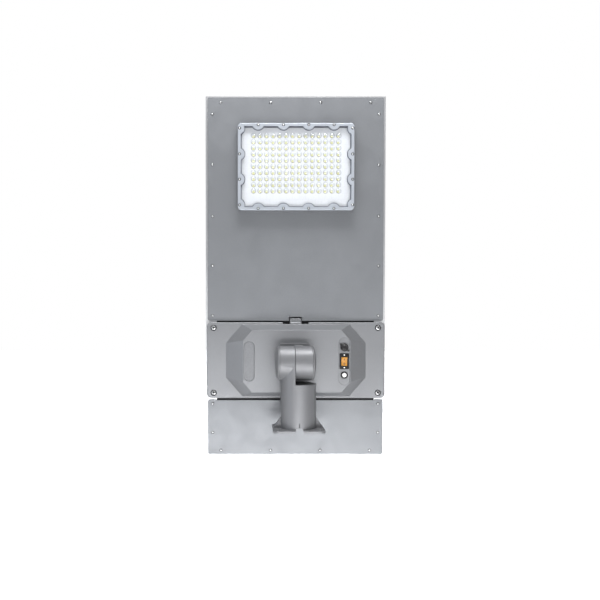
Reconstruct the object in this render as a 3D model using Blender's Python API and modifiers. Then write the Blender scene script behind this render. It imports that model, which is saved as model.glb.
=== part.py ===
"""All-in-one solar street lamp: a framed solar panel with the lamp built on its back.

World axes, in metres: +Z runs up the pole through the sleeve, -Y points out of the
lamp's light side, and +X is to the right when looking at the light side. The origin is
the centre of the sleeve's mouth. The lamp's head tilts about the bolt between the two
knuckles, and everything on the head hangs on the empty at that bolt.
"""

import math

import bmesh
import bpy
from mathutils import Matrix, Vector
from mathutils.geometry import interpolate_bezier

GAP = 0.0003  # clearance between pieces that touch

# Heights along the pole
PIVOT_Z = 0.140
PANEL_Z = 0.325
BOX_Z = 0.140
LED_Z = 0.566

# Depths, from the light side (-Y) to the glass side (+Y)
DOME_FACE_Y = 0.044
RIM_FACE_Y = 0.074
PAN_FACE_Y = 0.087
PAN_THICKNESS = 0.0012
LIP_Y = 0.0885
GLASS_FACE_Y = 0.1270

# Panel and its frame
PANEL_WIDTH = 0.400
PANEL_HEIGHT = 0.800
WALL = 0.0016
LIP_WIDTH = 0.024
SHEET = 0.0015
GLASS_BACK_Y = 0.1222
GLASS_THICKNESS = 0.0032
LAMINATE_THICKNESS = 0.0010
SHELF_Y = 0.1206

# Back pans
PAN_WIDTH = 0.392
UPPER_PAN_TOP = PANEL_Z + 0.397
UPPER_PAN_BOTTOM = 0.2275
LOWER_PAN_TOP = 0.0515
LOWER_PAN_BOTTOM = PANEL_Z - 0.397
PAN_CORNER = 0.004
TAB_NOTCH_WIDTH = 0.029
TAB_NOTCH_HEIGHT = 0.0085

# Control housing
BOX_WIDTH = 0.394
BOX_HEIGHT = 0.168
BOX_CORNER = 0.009
BOX_BACK_Y = LIP_Y - GAP
BOX_EDGE = 0.0024  # rounding of the rim's front edge
SHELL = 0.003
RIM_WALL = 0.005
DOME_FOOT = (0.1545, 0.0796, 0.1417)  # distances of its sides, top and corners from the middle
DOME_FACE = (0.1163, 0.0676, 0.1173)
DOME_CORNER_SLOPE = 1.15
TAB_WIDTH = 0.025
TAB_HEIGHT = 0.009
TAB_STEP_END = 0.0285  # the rim's top edge steps down beside the tab, out to this far
TAB_STEP_DROP = 0.0042
CORNER_SCREW_X = 0.182
CORNER_SCREW_Z = 0.072
CORNER_SCREW_RADIUS = 0.0054
SEAT_DEPTH = 0.0042  # from the housing's back edge to the ledge its back plate sits on
SEAT_STEP = 0.002
RECESS_X = 0.103
RECESS_WIDTH = 0.0238
RECESS_DEPTH = 0.0016
PORT_RECESS_HEIGHT = 0.1034
LABEL_RECESS_HEIGHT = 0.0865
PORT_PITCH = 0.030
RECESS_FLOOR_Y = DOME_FACE_Y + RECESS_DEPTH

# Charging socket, switch and button, one above the other in the right recess
SOCKET_FLANGE_RADIUS = 0.0088
SOCKET_BARREL_RADIUS = 0.0064
SOCKET_BORE_RADIUS = 0.0046
SOCKET_FACE_Y = RECESS_FLOOR_Y - GAP - 0.0024
CAP_RADIUS = 0.0086
CAP_THICKNESS = 0.0022
CAP_PEG_X = 0.0080  # from the socket's centre
CAP_PEG_Z = -0.0066
CAP_HINGE = (RECESS_X + CAP_PEG_X, DOME_FACE_Y - 0.0012, BOX_Z + PORT_PITCH + CAP_PEG_Z)
SWITCH_FRAME = (0.0200, 0.0340)
SWITCH_NECK = (0.0164, 0.0304)
SWITCH_WINDOW = (0.0134, 0.0202)
SWITCH_BACK_Y = 0.0620
SWITCH_AXIS = (RECESS_X, DOME_FACE_Y + 0.0022, BOX_Z)
ROCKER_WIDTH = 0.0126
ROCKER_REST = math.radians(10)
BUTTON_BARREL_RADIUS = 0.0061
BUTTON_RADIUS = 0.0050

# Inside the housing
BATTERY_LEFT = -0.096
BATTERY_RIGHT = 0.026
BATTERY_FRONT_Y = 0.0500
BATTERY_BACK_Y = 0.0830
BATTERY_HALF_HEIGHT = 0.048
STRAP_WIDTH = 0.016
STRAP_STRIP = 0.0012
STRAP_FOOT = 0.062  # the strap's outer ends, above and below the housing's middle
PLATE_LEAD_HOLE = (0.060, 0.066)  # where the lamp's lead comes through the back plate
LEAD_Y = 0.1020  # depth of the lamp's lead between the pan and the panel

# Lamp module, from its bezel back to the pan
LED_WIDTH = 0.256
LED_HEIGHT = 0.190
LED_CORNER = 0.008
LED_BASE_MARGIN = 0.002
LED_BEZEL_FACE_Y = 0.0712
BEZEL_SHEET = 0.0018
SEAL_THICKNESS = 0.0008
LENS_FACE_Y = LED_BEZEL_FACE_Y + BEZEL_SHEET + SEAL_THICKNESS + 2 * GAP
LENS_BACK_Y = 0.0763
LED_BASE_FACE_Y = 0.0770
LED_FLOOR_Y = 0.0806
LED_BACK_Y = PAN_FACE_Y - GAP
BEZEL_BAND = 0.0064
SEAL_BAND = 0.0087
LOBE_INSET = 0.0010
LOBE_RADIUS = 0.0133
LOBES_ACROSS = (-0.0832, -0.0277, 0.0277, 0.0832)
LOBES_UP = (-0.0838, -0.0277, 0.0277, 0.0838)
LED_POCKET = (0.2400, 0.1740)
LED_BOARD = (0.2390, 0.1730)
BOARD_THICKNESS = 0.0016

# Sleeve and tilt head
SLEEVE_RADIUS = 0.037
BORE_RADIUS = 0.031
BORE_TOP = 0.090
SHOULDER_Z = PIVOT_Z - 0.043
KNUCKLE_RADIUS = 0.0365
SPLIT_X = -0.0078
SPLIT_GAP = 0.0005
ARM_KNUCKLE_END = -0.0393
HEAD_KNUCKLE_END = 0.0284
FOOT_WIDTH = 0.107
FOOT_DEPTH = 0.090
FOOT_THICKNESS = 0.005
FOOT_HOLE_X = 0.043
FOOT_HOLE_Y = 0.030
FOOT_HOLE_RADIUS = 0.0045
NOTCH_RADIUS = 0.009
SET_SCREW_Z = (0.045, 0.075)
SET_SCREW_RADIUS = 0.0050
SET_SCREW_LENGTH = 0.0064
BOLT_RADIUS = 0.006
BOLT_BORE_RADIUS = 0.0061
COUNTERBORE_RADIUS = 0.0130
HEAD_SEAT_X = -0.0270
NUT_SEAT_X = 0.0160
HEXAGON_RADIUS = 0.0104
HEX_HEAD_HEIGHT = 0.0068
NUT_HEIGHT = 0.0080
WASHER_RADIUS = 0.0118
WASHER_THICKNESS = 0.0020
BRACKET_PLATE = (0.0660, 0.0735)
BRACKET_PLATE_X = -0.0045
BRACKET_PLATE_RISE = 0.00275  # the plate's middle above the pivot
BRACKET_PLATE_THICKNESS = 0.005
BRACKET_BOLT_X = (-0.029, 0.020)
BRACKET_BOLT_Z = (0.026, -0.026)

PALETTE = {
    "grey_coat": ((0.36, 0.37, 0.39), 0.45, 0.2),
    "housing_coat": ((0.40, 0.40, 0.42), 0.42, 0.2),
    "bare_aluminium": ((0.80, 0.81, 0.83), 0.35, 1.0),
    "cast_aluminium": ((0.62, 0.63, 0.65), 0.40, 0.6),
    "cells": ((0.01, 0.012, 0.03), 0.30, 0.0),
    "glass": ((0.85, 0.90, 0.92), 0.05, 0.0),
    "lens": ((0.92, 0.94, 0.95), 0.08, 0.0),
    "white_board": ((0.92, 0.92, 0.90), 0.50, 0.0),
    "black_plastic": ((0.02, 0.02, 0.02), 0.45, 0.0),
    "black_rubber": ((0.025, 0.025, 0.025), 0.80, 0.0),
    "grey_rubber": ((0.09, 0.09, 0.095), 0.85, 0.0),
    "steel": ((0.60, 0.60, 0.61), 0.30, 1.0),
    "orange_plastic": ((0.85, 0.38, 0.05), 0.40, 0.0),
    "white_plastic": ((0.90, 0.90, 0.90), 0.40, 0.0),
    "blue_wrap": ((0.03, 0.10, 0.35), 0.50, 0.0),
    "label_film": ((0.48, 0.49, 0.50), 0.50, 0.0),
}


# ---------------------------------------------------------------- scene and materials
def clear_scene():
    for obj in list(bpy.data.objects):
        bpy.data.objects.remove(obj)


def new_collection(name):
    collection = bpy.data.collections.new(name)
    bpy.context.scene.collection.children.link(collection)
    return collection


def material(name):
    """The Principled material of that palette entry, made on first use."""
    if name in bpy.data.materials:
        return bpy.data.materials[name]
    colour, roughness, metallic = PALETTE[name]
    mat = bpy.data.materials.new(name)
    mat.use_nodes = True
    shader = mat.node_tree.nodes["Principled BSDF"]
    shader.inputs["Base Color"].default_value = (*colour, 1)
    shader.inputs["Roughness"].default_value = roughness
    shader.inputs["Metallic"].default_value = metallic
    return mat


clear_scene()
PARTS = new_collection("solar_street_lamp")
CUTTERS = new_collection("cutters")
TILT_AXIS = bpy.data.objects.new("tilt_axis", None)
TILT_AXIS.location = (0, 0, PIVOT_Z)
PARTS.objects.link(TILT_AXIS)


# ---------------------------------------------------------------- modelling helpers
def show_part(name, mesh, finish, location=(0, 0, 0), rotation=(0, 0, 0)):
    mesh.name = name
    mesh.materials.clear()
    mesh.materials.append(material(finish))
    obj = bpy.data.objects.new(name, mesh)
    obj.location = location
    obj.rotation_euler = rotation
    PARTS.objects.link(obj)
    return obj


def cutter(mesh, location=(0, 0, 0), rotation=(0, 0, 0)):
    obj = bpy.data.objects.new("cutter", mesh)
    obj.location = location
    obj.rotation_euler = rotation
    obj.hide_render = True
    obj.display_type = "WIRE"
    CUTTERS.objects.link(obj)
    return obj


def combine(obj, tool, operation="DIFFERENCE"):
    """Adds a Boolean with the tool, which is a cutter object."""
    modifier = obj.modifiers.new(operation.lower(), "BOOLEAN")
    modifier.operation = operation
    modifier.object = tool
    return modifier


def round_edges(obj, width, segments=2, angle=40):
    modifier = obj.modifiers.new("round edges", "BEVEL")
    modifier.width = width
    modifier.segments = segments
    modifier.limit_method = "ANGLE"
    modifier.angle_limit = math.radians(angle)
    modifier.use_clamp_overlap = True


def on_head(obj):
    """Hangs a piece on the tilt axis, where it stands."""
    obj.parent = TILT_AXIS
    obj.matrix_parent_inverse = Matrix.Translation((0, 0, -PIVOT_Z))
    return obj


def mesh_of_curve(curve):
    """A closed mesh of a curve's surface, with its loose caps welded on."""
    holder = bpy.data.objects.new("curve", curve)
    bpy.context.scene.collection.objects.link(holder)
    depsgraph = bpy.context.evaluated_depsgraph_get()
    mesh = bpy.data.meshes.new_from_object(holder.evaluated_get(depsgraph))
    bpy.data.objects.remove(holder)
    bpy.data.curves.remove(curve)
    bm = bmesh.new()
    bm.from_mesh(mesh)
    bmesh.ops.remove_doubles(bm, verts=bm.verts, dist=0.000005)
    bmesh.ops.recalc_face_normals(bm, faces=bm.faces)
    bm.to_mesh(mesh)
    bm.free()
    return mesh


def plate_mesh(outlines, thickness):
    """A flat sheet in the mesh's XY plane: the first outline, less the others."""
    curve = bpy.data.curves.new("outline", "CURVE")
    curve.dimensions = "2D"
    curve.fill_mode = "BOTH"
    curve.extrude = thickness / 2
    for points in outlines:
        spline = curve.splines.new("POLY")
        spline.points.add(len(points) - 1)
        for point, (x, y) in zip(spline.points, points):
            point.co = (x, y, 0, 1)
        spline.use_cyclic_u = True
    return mesh_of_curve(curve)


UPRIGHT = (math.pi / 2, 0, 0)  # turns a sheet's XY plane to the world's XZ plane
ALONG_X = (0, math.pi / 2, 0)  # turns a mesh's Z axis to the world's X axis


def upright_plate(name, outlines, y_front, y_back, finish, x=0.0, z=0.0):
    mesh = plate_mesh(outlines, y_back - y_front)
    return show_part(name, mesh, finish, (x, (y_front + y_back) / 2, z), UPRIGHT)


def plate_cutter(outlines, y_front, y_back, x=0.0, z=0.0):
    mesh = plate_mesh(outlines, y_back - y_front)
    return cutter(mesh, (x, (y_front + y_back) / 2, z), UPRIGHT)


def box_mesh(size):
    bm = bmesh.new()
    bmesh.ops.create_cube(bm, size=1)
    bmesh.ops.scale(bm, vec=size, verts=bm.verts)
    mesh = bpy.data.meshes.new("box")
    bm.to_mesh(mesh)
    bm.free()
    return mesh


def span(low, high):
    """(size, centre) of the box between two corners."""
    low = Vector(low)
    high = Vector(high)
    return high - low, (low + high) / 2


def round_mesh(radius, length, segments=32, far_radius=None):
    """A cylinder along the mesh's Z axis, or a cone with far_radius at its +Z end."""
    bm = bmesh.new()
    bmesh.ops.create_cone(
        bm,
        cap_ends=True,
        segments=segments,
        radius1=radius,
        radius2=radius if far_radius is None else far_radius,
        depth=length,
    )
    mesh = bpy.data.meshes.new("round")
    bm.to_mesh(mesh)
    bm.free()
    mesh.shade_smooth()
    mesh.set_sharp_from_angle(angle=math.radians(35))
    return mesh


def turned(name, profile, finish, location, rotation, steps=32):
    """A piece turned about its Z axis from (radius, height) points, top to bottom."""
    bm = bmesh.new()
    verts = [bm.verts.new((radius, 0, height)) for radius, height in profile]
    for first, second in zip(verts, verts[1:]):
        bm.edges.new((first, second))
    mesh = bpy.data.meshes.new(name)
    bm.to_mesh(mesh)
    bm.free()
    obj = show_part(name, mesh, finish, location, rotation)
    screw = obj.modifiers.new("turn", "SCREW")
    screw.axis = "Z"
    screw.steps = steps
    screw.render_steps = steps
    screw.use_merge_vertices = True
    screw.merge_threshold = 0.00001
    screw.use_smooth_shade = True
    return obj


def arc(centre, radius, start, end, steps):
    """Points on a circle from one angle to another, in degrees."""
    points = []
    for step in range(steps + 1):
        angle = math.radians(start + (end - start) * step / steps)
        points.append(
            (
                centre[0] + radius * math.cos(angle),
                centre[1] + radius * math.sin(angle),
            )
        )
    return points


def circle(radius, steps=24, centre=(0, 0)):
    return arc(centre, radius, 0, 360, steps)[:-1]


def rounded_rectangle(width, height, radius, steps=4):
    x = width / 2 - radius
    z = height / 2 - radius
    points = arc((x, z), radius, 0, 90, steps)
    points += arc((-x, z), radius, 90, 180, steps)
    points += arc((-x, -z), radius, 180, 270, steps)
    points += arc((x, -z), radius, 270, 360, steps)
    return points


def capsule(width, height, steps=8):
    """An upright oval slot with half-round ends."""
    reach = height / 2 - width / 2
    upper = arc((0, reach), width / 2, 0, 180, steps)
    lower = arc((0, -reach), width / 2, 180, 360, steps)
    return upper + lower


def octagon(distances, inset=0.0):
    """An eight-sided outline from its sides' distances, each drawn in by the same inset.

    Every corner edge has the same slope, so the facets between two such outlines are flat.
    """
    side_x, top_z, corner = (distance - inset for distance in distances)
    reach = corner * math.hypot(1, DOME_CORNER_SLOPE)
    corner_z = reach - side_x * DOME_CORNER_SLOPE
    corner_x = (reach - top_z) / DOME_CORNER_SLOPE
    quarter = [(side_x, corner_z), (corner_x, top_z)]
    upper = quarter + [(-x, z) for x, z in reversed(quarter)]
    return upper + [(-x, -z) for x, z in upper]


def smooth_route(points, steps):
    """Evenly numbered points on a smooth curve through the given ones."""
    route = []
    places = [Vector(p) for p in points]
    last = len(places) - 1
    for i in range(last):
        before = places[max(i - 1, 0)]
        after = places[min(i + 2, last)]
        start = places[i]
        end = places[i + 1]
        handle_start = start + (end - before) / 6
        handle_end = end - (after - start) / 6
        stretch = interpolate_bezier(start, handle_start, handle_end, end, steps + 1)
        route += stretch[:-1]
    route.append(places[-1])
    return route


def cable(name, points, radius, finish, steps=5):
    """A round lead along a smooth route through the given points."""
    curve = bpy.data.curves.new(name, "CURVE")
    curve.dimensions = "3D"
    curve.bevel_depth = radius
    curve.bevel_resolution = 2
    curve.use_fill_caps = True
    route = smooth_route(points, steps)
    spline = curve.splines.new("POLY")
    spline.points.add(len(route) - 1)
    for point, place in zip(spline.points, route):
        point.co = (*place, 1)
    return show_part(name, mesh_of_curve(curve), finish)


# ---------------------------------------------------------------- panel and its frame
def frame_profile():
    """The rail's section: (inward, depth) from the outer wall and from the lip's face."""
    glass_top = GLASS_FACE_Y - 0.0013
    wall_points = [(0, LIP_Y), (LIP_WIDTH, LIP_Y), (LIP_WIDTH, LIP_Y + SHEET)]
    wall_points += [(WALL, LIP_Y + SHEET), (WALL, SHELF_Y - 0.0014)]
    wall_points += [(0.008, SHELF_Y - 0.0014), (0.008, SHELF_Y), (WALL, SHELF_Y)]
    wall_points += [(WALL, glass_top), (0.009, glass_top)]
    wall_points += [(0.009, GLASS_FACE_Y), (0, GLASS_FACE_Y)]
    return wall_points


def frame_rail(name, length, across, turn):
    """One mitred rail: its outer wall stands `across` from the panel's centre.

    Each end corner is drawn back by its distance in from the outer wall, which
    gives the 45 degree mitre.
    """
    bm = bmesh.new()
    half = length / 2 - GAP / 2
    ends = []
    for side in (-1, 1):
        ends.append(
            [
                bm.verts.new((side * (half - inward), depth, across - inward))
                for inward, depth in frame_profile()
            ]
        )
    count = len(ends[0])
    bm.faces.new(ends[0])
    bm.faces.new(list(reversed(ends[1])))
    for i in range(count):
        j = (i + 1) % count
        bm.faces.new((ends[0][j], ends[0][i], ends[1][i], ends[1][j]))
    bmesh.ops.recalc_face_normals(bm, faces=bm.faces)
    mesh = bpy.data.meshes.new(name)
    bm.to_mesh(mesh)
    bm.free()
    rotation = (0, turn, 0)
    return on_head(show_part(name, mesh, "bare_aluminium", (0, 0, PANEL_Z), rotation))


def build_panel():
    frame_rail("frame_rail_top", PANEL_WIDTH, PANEL_HEIGHT / 2, 0)
    frame_rail("frame_rail_bottom", PANEL_WIDTH, PANEL_HEIGHT / 2, math.pi)
    right = frame_rail("frame_rail_right", PANEL_HEIGHT, PANEL_WIDTH / 2, math.pi / 2)
    left = frame_rail("frame_rail_left", PANEL_HEIGHT, PANEL_WIDTH / 2, -math.pi / 2)
    for x, z in screw_positions():
        hole = round_mesh(0.0030, 0.006, 16)
        rail = right if x > 0 else left
        combine(rail, cutter(hole, (x, LIP_Y + SHEET / 2, BOX_Z + z), UPRIGHT))
    inner_width = PANEL_WIDTH - 2 * WALL - 2 * GAP
    inner_height = PANEL_HEIGHT - 2 * WALL - 2 * GAP
    sheet = [rounded_rectangle(inner_width, inner_height, 0.001, 1)]
    glass_face = GLASS_BACK_Y + GLASS_THICKNESS
    on_head(upright_plate("solar_glass", sheet, GLASS_BACK_Y, glass_face, "glass", z=PANEL_Z))
    back = SHELF_Y + GAP
    face = back + LAMINATE_THICKNESS
    on_head(upright_plate("solar_laminate", sheet, back, face, "cells", z=PANEL_Z))


def build_junction_box():
    height = 0.018
    size, centre = span(
        (-0.045, SHELF_Y - height, PANEL_Z + 0.318),
        (0.045, SHELF_Y, PANEL_Z + 0.372),
    )
    box = on_head(show_part("junction_box", box_mesh(size), "black_plastic", centre))
    round_edges(box, 0.002)


# ---------------------------------------------------------------- back pans
def notched_pan(top, bottom):
    """The upper pan's outline, with the notch for the housing's tongue in its lower edge."""
    height = top - bottom
    points = rounded_rectangle(PAN_WIDTH, height, PAN_CORNER, 3)
    half = TAB_NOTCH_WIDTH / 2
    low = -height / 2
    notch = [(-half, low), (-half, low + TAB_NOTCH_HEIGHT)]
    notch += [(half, low + TAB_NOTCH_HEIGHT), (half, low)]
    left_corner = 12  # the notch comes after the lower left corner's last point
    return points[:left_corner] + notch + points[left_corner:]


def build_pans():
    upper_centre = (UPPER_PAN_TOP + UPPER_PAN_BOTTOM) / 2
    lead_hole = circle(0.007, 16, (0, LED_Z - upper_centre))
    upper = [notched_pan(UPPER_PAN_TOP, UPPER_PAN_BOTTOM), lead_hole]
    back = PAN_FACE_Y + PAN_THICKNESS
    on_head(upright_plate("upper_back_pan", upper, PAN_FACE_Y, back, "grey_coat", z=upper_centre))
    lower_centre = (LOWER_PAN_TOP + LOWER_PAN_BOTTOM) / 2
    lower = [rounded_rectangle(PAN_WIDTH, LOWER_PAN_TOP - LOWER_PAN_BOTTOM, PAN_CORNER, 3)]
    on_head(upright_plate("lower_back_pan", lower, PAN_FACE_Y, back, "grey_coat", z=lower_centre))


# ---------------------------------------------------------------- control housing
def dome_mesh(inset, face_y, foot_y):
    """The eight-sided raised face, from foot_y up to face_y, drawn in by inset."""
    bm = bmesh.new()
    rise = RIM_FACE_Y - DOME_FACE_Y
    foot_share = (RIM_FACE_Y - foot_y) / rise
    outer = octagon(DOME_FOOT, inset)
    inner = octagon(DOME_FACE, inset)
    loops = []
    for share, y in ((foot_share, foot_y), (1.0, face_y)):
        ring = []
        for (wide_x, wide_z), (narrow_x, narrow_z) in zip(outer, inner):
            x = wide_x + (narrow_x - wide_x) * share
            z = wide_z + (narrow_z - wide_z) * share
            ring.append(bm.verts.new((x, y, z)))
        loops.append(ring)
    foot, face = loops
    count = len(foot)
    bm.faces.new(foot)
    bm.faces.new(list(reversed(face)))
    for i in range(count):
        j = (i + 1) % count
        bm.faces.new((foot[j], foot[i], face[i], face[j]))
    bmesh.ops.recalc_face_normals(bm, faces=bm.faces)
    mesh = bpy.data.meshes.new("dome")
    bm.to_mesh(mesh)
    bm.free()
    return mesh


def screw_positions():
    return [(sx * CORNER_SCREW_X, sz * CORNER_SCREW_Z) for sz in (1, -1) for sx in (-1, 1)]


def round_front_edge(mesh, radius):
    """Rounds the edge around a sheet's front face, which is its +Z side."""
    bm = bmesh.new()
    bm.from_mesh(mesh)
    front = max(vert.co.z for vert in bm.verts)
    edges = [e for e in bm.edges if all(abs(v.co.z - front) < GAP / 10 for v in e.verts)]
    outline = [e for e in edges if any(abs(f.normal.z) < 0.5 for f in e.link_faces)]
    bmesh.ops.bevel(bm, geom=outline, offset=radius, segments=3, profile=0.5, affect="EDGES")
    bm.to_mesh(mesh)
    bm.free()


def build_housing():
    """The cast box: a flat rim, a raised eight-sided face and a tongue at its top edge."""
    rim = [rounded_rectangle(BOX_WIDTH, BOX_HEIGHT, BOX_CORNER, 5)]
    housing = upright_plate(
        "control_housing", rim, RIM_FACE_Y, BOX_BACK_Y, "housing_coat", z=BOX_Z
    )
    round_front_edge(housing.data, BOX_EDGE)
    centre = (0, 0, BOX_Z)
    combine(housing, cutter(dome_mesh(0, DOME_FACE_Y, RIM_FACE_Y + 0.002), centre), "UNION")
    size, middle = span(
        (-TAB_WIDTH / 2, RIM_FACE_Y + 0.004, BOX_Z + BOX_HEIGHT / 2 - 0.006),
        (TAB_WIDTH / 2, PAN_FACE_Y - 0.001, BOX_Z + BOX_HEIGHT / 2 + TAB_HEIGHT),
    )
    combine(housing, cutter(box_mesh(size), middle), "UNION")
    top = BOX_Z + BOX_HEIGHT / 2
    for near, far in ((TAB_WIDTH / 2, TAB_STEP_END), (-TAB_STEP_END, -TAB_WIDTH / 2)):
        low = (near, RIM_FACE_Y - 0.002, top - TAB_STEP_DROP)
        size, middle = span(low, (far, BOX_BACK_Y + 0.002, top + 0.002))
        combine(housing, cutter(box_mesh(size), middle))

    inner_width = BOX_WIDTH - 2 * RIM_WALL
    inner_height = BOX_HEIGHT - 2 * RIM_WALL
    hollow = [rounded_rectangle(inner_width, inner_height, BOX_CORNER - RIM_WALL, 3)]
    hollow_face = RIM_FACE_Y + SHELL
    combine(housing, plate_cutter(hollow, hollow_face, BOX_BACK_Y + 0.01, z=BOX_Z))
    dome_hollow = dome_mesh(SHELL, DOME_FACE_Y + SHELL, hollow_face + 0.002)
    combine(housing, cutter(dome_hollow, centre))
    seat_width = inner_width + 2 * SEAT_STEP
    seat_height = inner_height + 2 * SEAT_STEP
    seat = [rounded_rectangle(seat_width, seat_height, BOX_CORNER - RIM_WALL + SEAT_STEP, 3)]
    combine(housing, plate_cutter(seat, BOX_BACK_Y - SEAT_DEPTH, BOX_BACK_Y + 0.01, z=BOX_Z))

    for x, z in screw_positions():
        sink = round_mesh(0.0028, 0.05, 16)
        combine(housing, cutter(sink, (x, RIM_FACE_Y, BOX_Z + z), UPRIGHT))
        head_sink = round_mesh(0.0030, 0.0052, 24, 0.0068)
        combine(housing, cutter(head_sink, (x, RIM_FACE_Y + 0.0016, BOX_Z + z), UPRIGHT))

    in_front = DOME_FACE_Y - 0.01
    port_recess = [capsule(RECESS_WIDTH, PORT_RECESS_HEIGHT)]
    label_recess = [capsule(RECESS_WIDTH, LABEL_RECESS_HEIGHT)]
    combine(housing, plate_cutter(port_recess, in_front, RECESS_FLOOR_Y, RECESS_X, BOX_Z))
    combine(housing, plate_cutter(label_recess, in_front, RECESS_FLOOR_Y, -RECESS_X, BOX_Z))
    behind = DOME_FACE_Y + SHELL + 0.009
    neck_width, neck_height = SWITCH_NECK
    holes = [(circle(SOCKET_BARREL_RADIUS + GAP), 1)]
    holes += [(rounded_rectangle(neck_width + 2 * GAP, neck_height + 2 * GAP, 0.001, 1), 0)]
    holes += [(circle(BUTTON_BARREL_RADIUS + GAP), -1)]
    for outline, place in holes:
        z = BOX_Z + place * PORT_PITCH
        combine(housing, plate_cutter([outline], in_front, behind, RECESS_X, z))
    for x, z in bracket_bolt_places():
        hole = round_mesh(0.0036, 0.02, 16)
        combine(housing, cutter(hole, (x, DOME_FACE_Y, z), UPRIGHT))
    on_head(housing)


def build_label():
    plate = [capsule(RECESS_WIDTH - 0.003, LABEL_RECESS_HEIGHT - 0.003)]
    front = DOME_FACE_Y + 0.0004
    back = RECESS_FLOOR_Y - GAP
    on_head(upright_plate("blank_label", plate, front, back, "label_film", -RECESS_X, BOX_Z))


def build_back_plate():
    """The sheet that closes the control housing's back, and the seal under it."""
    inner_width = BOX_WIDTH - 2 * RIM_WALL
    inner_height = BOX_HEIGHT - 2 * RIM_WALL
    reach = 2 * (SEAT_STEP - GAP)
    outer = rounded_rectangle(inner_width + reach, inner_height + reach, 0.0055, 3)
    inner = rounded_rectangle(inner_width + 0.0004, inner_height + 0.0004, 0.0042, 3)
    seat_y = BOX_BACK_Y - SEAT_DEPTH
    seal_back = seat_y + GAP + 0.0010
    on_head(
        upright_plate("housing_seal", [outer, inner], seat_y + GAP, seal_back, "grey_rubber", z=BOX_Z)
    )
    plate_face = seal_back + GAP
    holes = [circle(0.006, 16, PLATE_LEAD_HOLE)]
    holes += [circle(0.0032, 12, place) for place in screw_positions()]
    on_head(
        upright_plate(
            "housing_back_plate",
            [outer, *holes],
            plate_face,
            plate_face + SHEET,
            "bare_aluminium",
            z=BOX_Z,
        )
    )


def build_corner_screws():
    """Countersunk screws with a cross recess, one in each corner of the housing's rim."""
    for index, (x, z) in enumerate(screw_positions(), 1):
        profile = [(0, 0.0), (CORNER_SCREW_RADIUS, 0.0), (0.0026, -0.0030)]
        profile += [(0.0026, -0.0150), (0, -0.0155)]
        place = (x, RIM_FACE_Y + 0.0006, BOX_Z + z)
        screw = turned(
            f"housing_screw_{index}", profile, "steel", place, (math.pi / 2, 0, 0), 20
        )
        for turn in (0.3, 0.3 + math.pi / 2):
            bar = box_mesh((0.0060, 0.0011, 0.0030))
            combine(screw, cutter(bar, place, (math.pi / 2, turn, 0)))
        on_head(screw)


# ---------------------------------------------------------------- ports and switches
def build_charge_socket():
    """A round charging socket standing in the recess, open at its face."""
    flange = 0.0024
    depth = 0.0180
    profile = [(0, -0.0110), (SOCKET_BORE_RADIUS, -0.0110), (SOCKET_BORE_RADIUS, 0)]
    profile += [(SOCKET_FLANGE_RADIUS - 0.0008, 0), (SOCKET_FLANGE_RADIUS, -0.0006)]
    profile += [(SOCKET_FLANGE_RADIUS, -flange), (SOCKET_BARREL_RADIUS, -flange)]
    profile += [(SOCKET_BARREL_RADIUS, -depth), (0, -depth)]
    place = (RECESS_X, SOCKET_FACE_Y, BOX_Z + PORT_PITCH)
    on_head(turned("charge_socket", profile, "black_plastic", place, UPRIGHT, 28))


def build_socket_cap():
    """The rubber cap on the socket, with its strap down to a peg at the recess's edge."""
    back = SOCKET_FACE_Y - GAP
    front = back - CAP_THICKNESS
    strap_angle = math.degrees(math.atan2(CAP_PEG_Z, CAP_PEG_X))
    spread = 14
    outline = arc((0, 0), CAP_RADIUS, strap_angle + spread, strap_angle + 360 - spread, 26)
    outline += arc((CAP_PEG_X, CAP_PEG_Z), 0.0022, strap_angle - 70, strap_angle + 70, 6)
    mesh = plate_mesh([outline], back - front)
    lift = Matrix.Rotation(math.pi / 2, 4, "X")
    socket_centre = Vector((RECESS_X, (front + back) / 2, BOX_Z + PORT_PITCH))
    lift.translation = socket_centre - Vector(CAP_HINGE)
    mesh.transform(lift)
    cap = on_head(show_part("socket_cap", mesh, "black_rubber", CAP_HINGE))
    round_edges(cap, 0.0005, 1)


def build_switch():
    """The switch's black surround and its orange rocker, tipped to one side."""
    frame_face = RECESS_FLOOR_Y - 0.0024
    surround = upright_plate(
        "switch_surround",
        [rounded_rectangle(*SWITCH_FRAME, 0.0008, 2)],
        frame_face,
        RECESS_FLOOR_Y - GAP,
        "black_plastic",
        RECESS_X,
        BOX_Z,
    )
    neck = [rounded_rectangle(*SWITCH_NECK, 0.0008, 1)]
    neck_tool = plate_cutter(neck, frame_face + 0.0012, SWITCH_BACK_Y, RECESS_X, BOX_Z)
    combine(surround, neck_tool, "UNION")
    window = [rounded_rectangle(*SWITCH_WINDOW, 0.0008, 1)]
    window_tool = plate_cutter(window, frame_face - 0.01, SWITCH_BACK_Y - 0.0060, RECESS_X, BOX_Z)
    combine(surround, window_tool)
    on_head(surround)

    section = [(0.0093, 0.0034), (0.0, 0.0022), (-0.0093, 0.0034)]
    section += [(-0.0086, -0.0030), (-0.0038, -0.0052), (0.0038, -0.0052), (0.0086, -0.0030)]
    mesh = plate_mesh([section], ROCKER_WIDTH)
    # the section's first number runs along Z and its second out of the face, along -Y
    axes = Matrix(((0, 0, 1, 0), (0, -1, 0, 0), (1, 0, 0, 0), (0, 0, 0, 1)))
    mesh.transform(axes)
    rocker = show_part("switch_rocker", mesh, "orange_plastic", SWITCH_AXIS, (ROCKER_REST, 0, 0))
    on_head(rocker)


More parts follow.
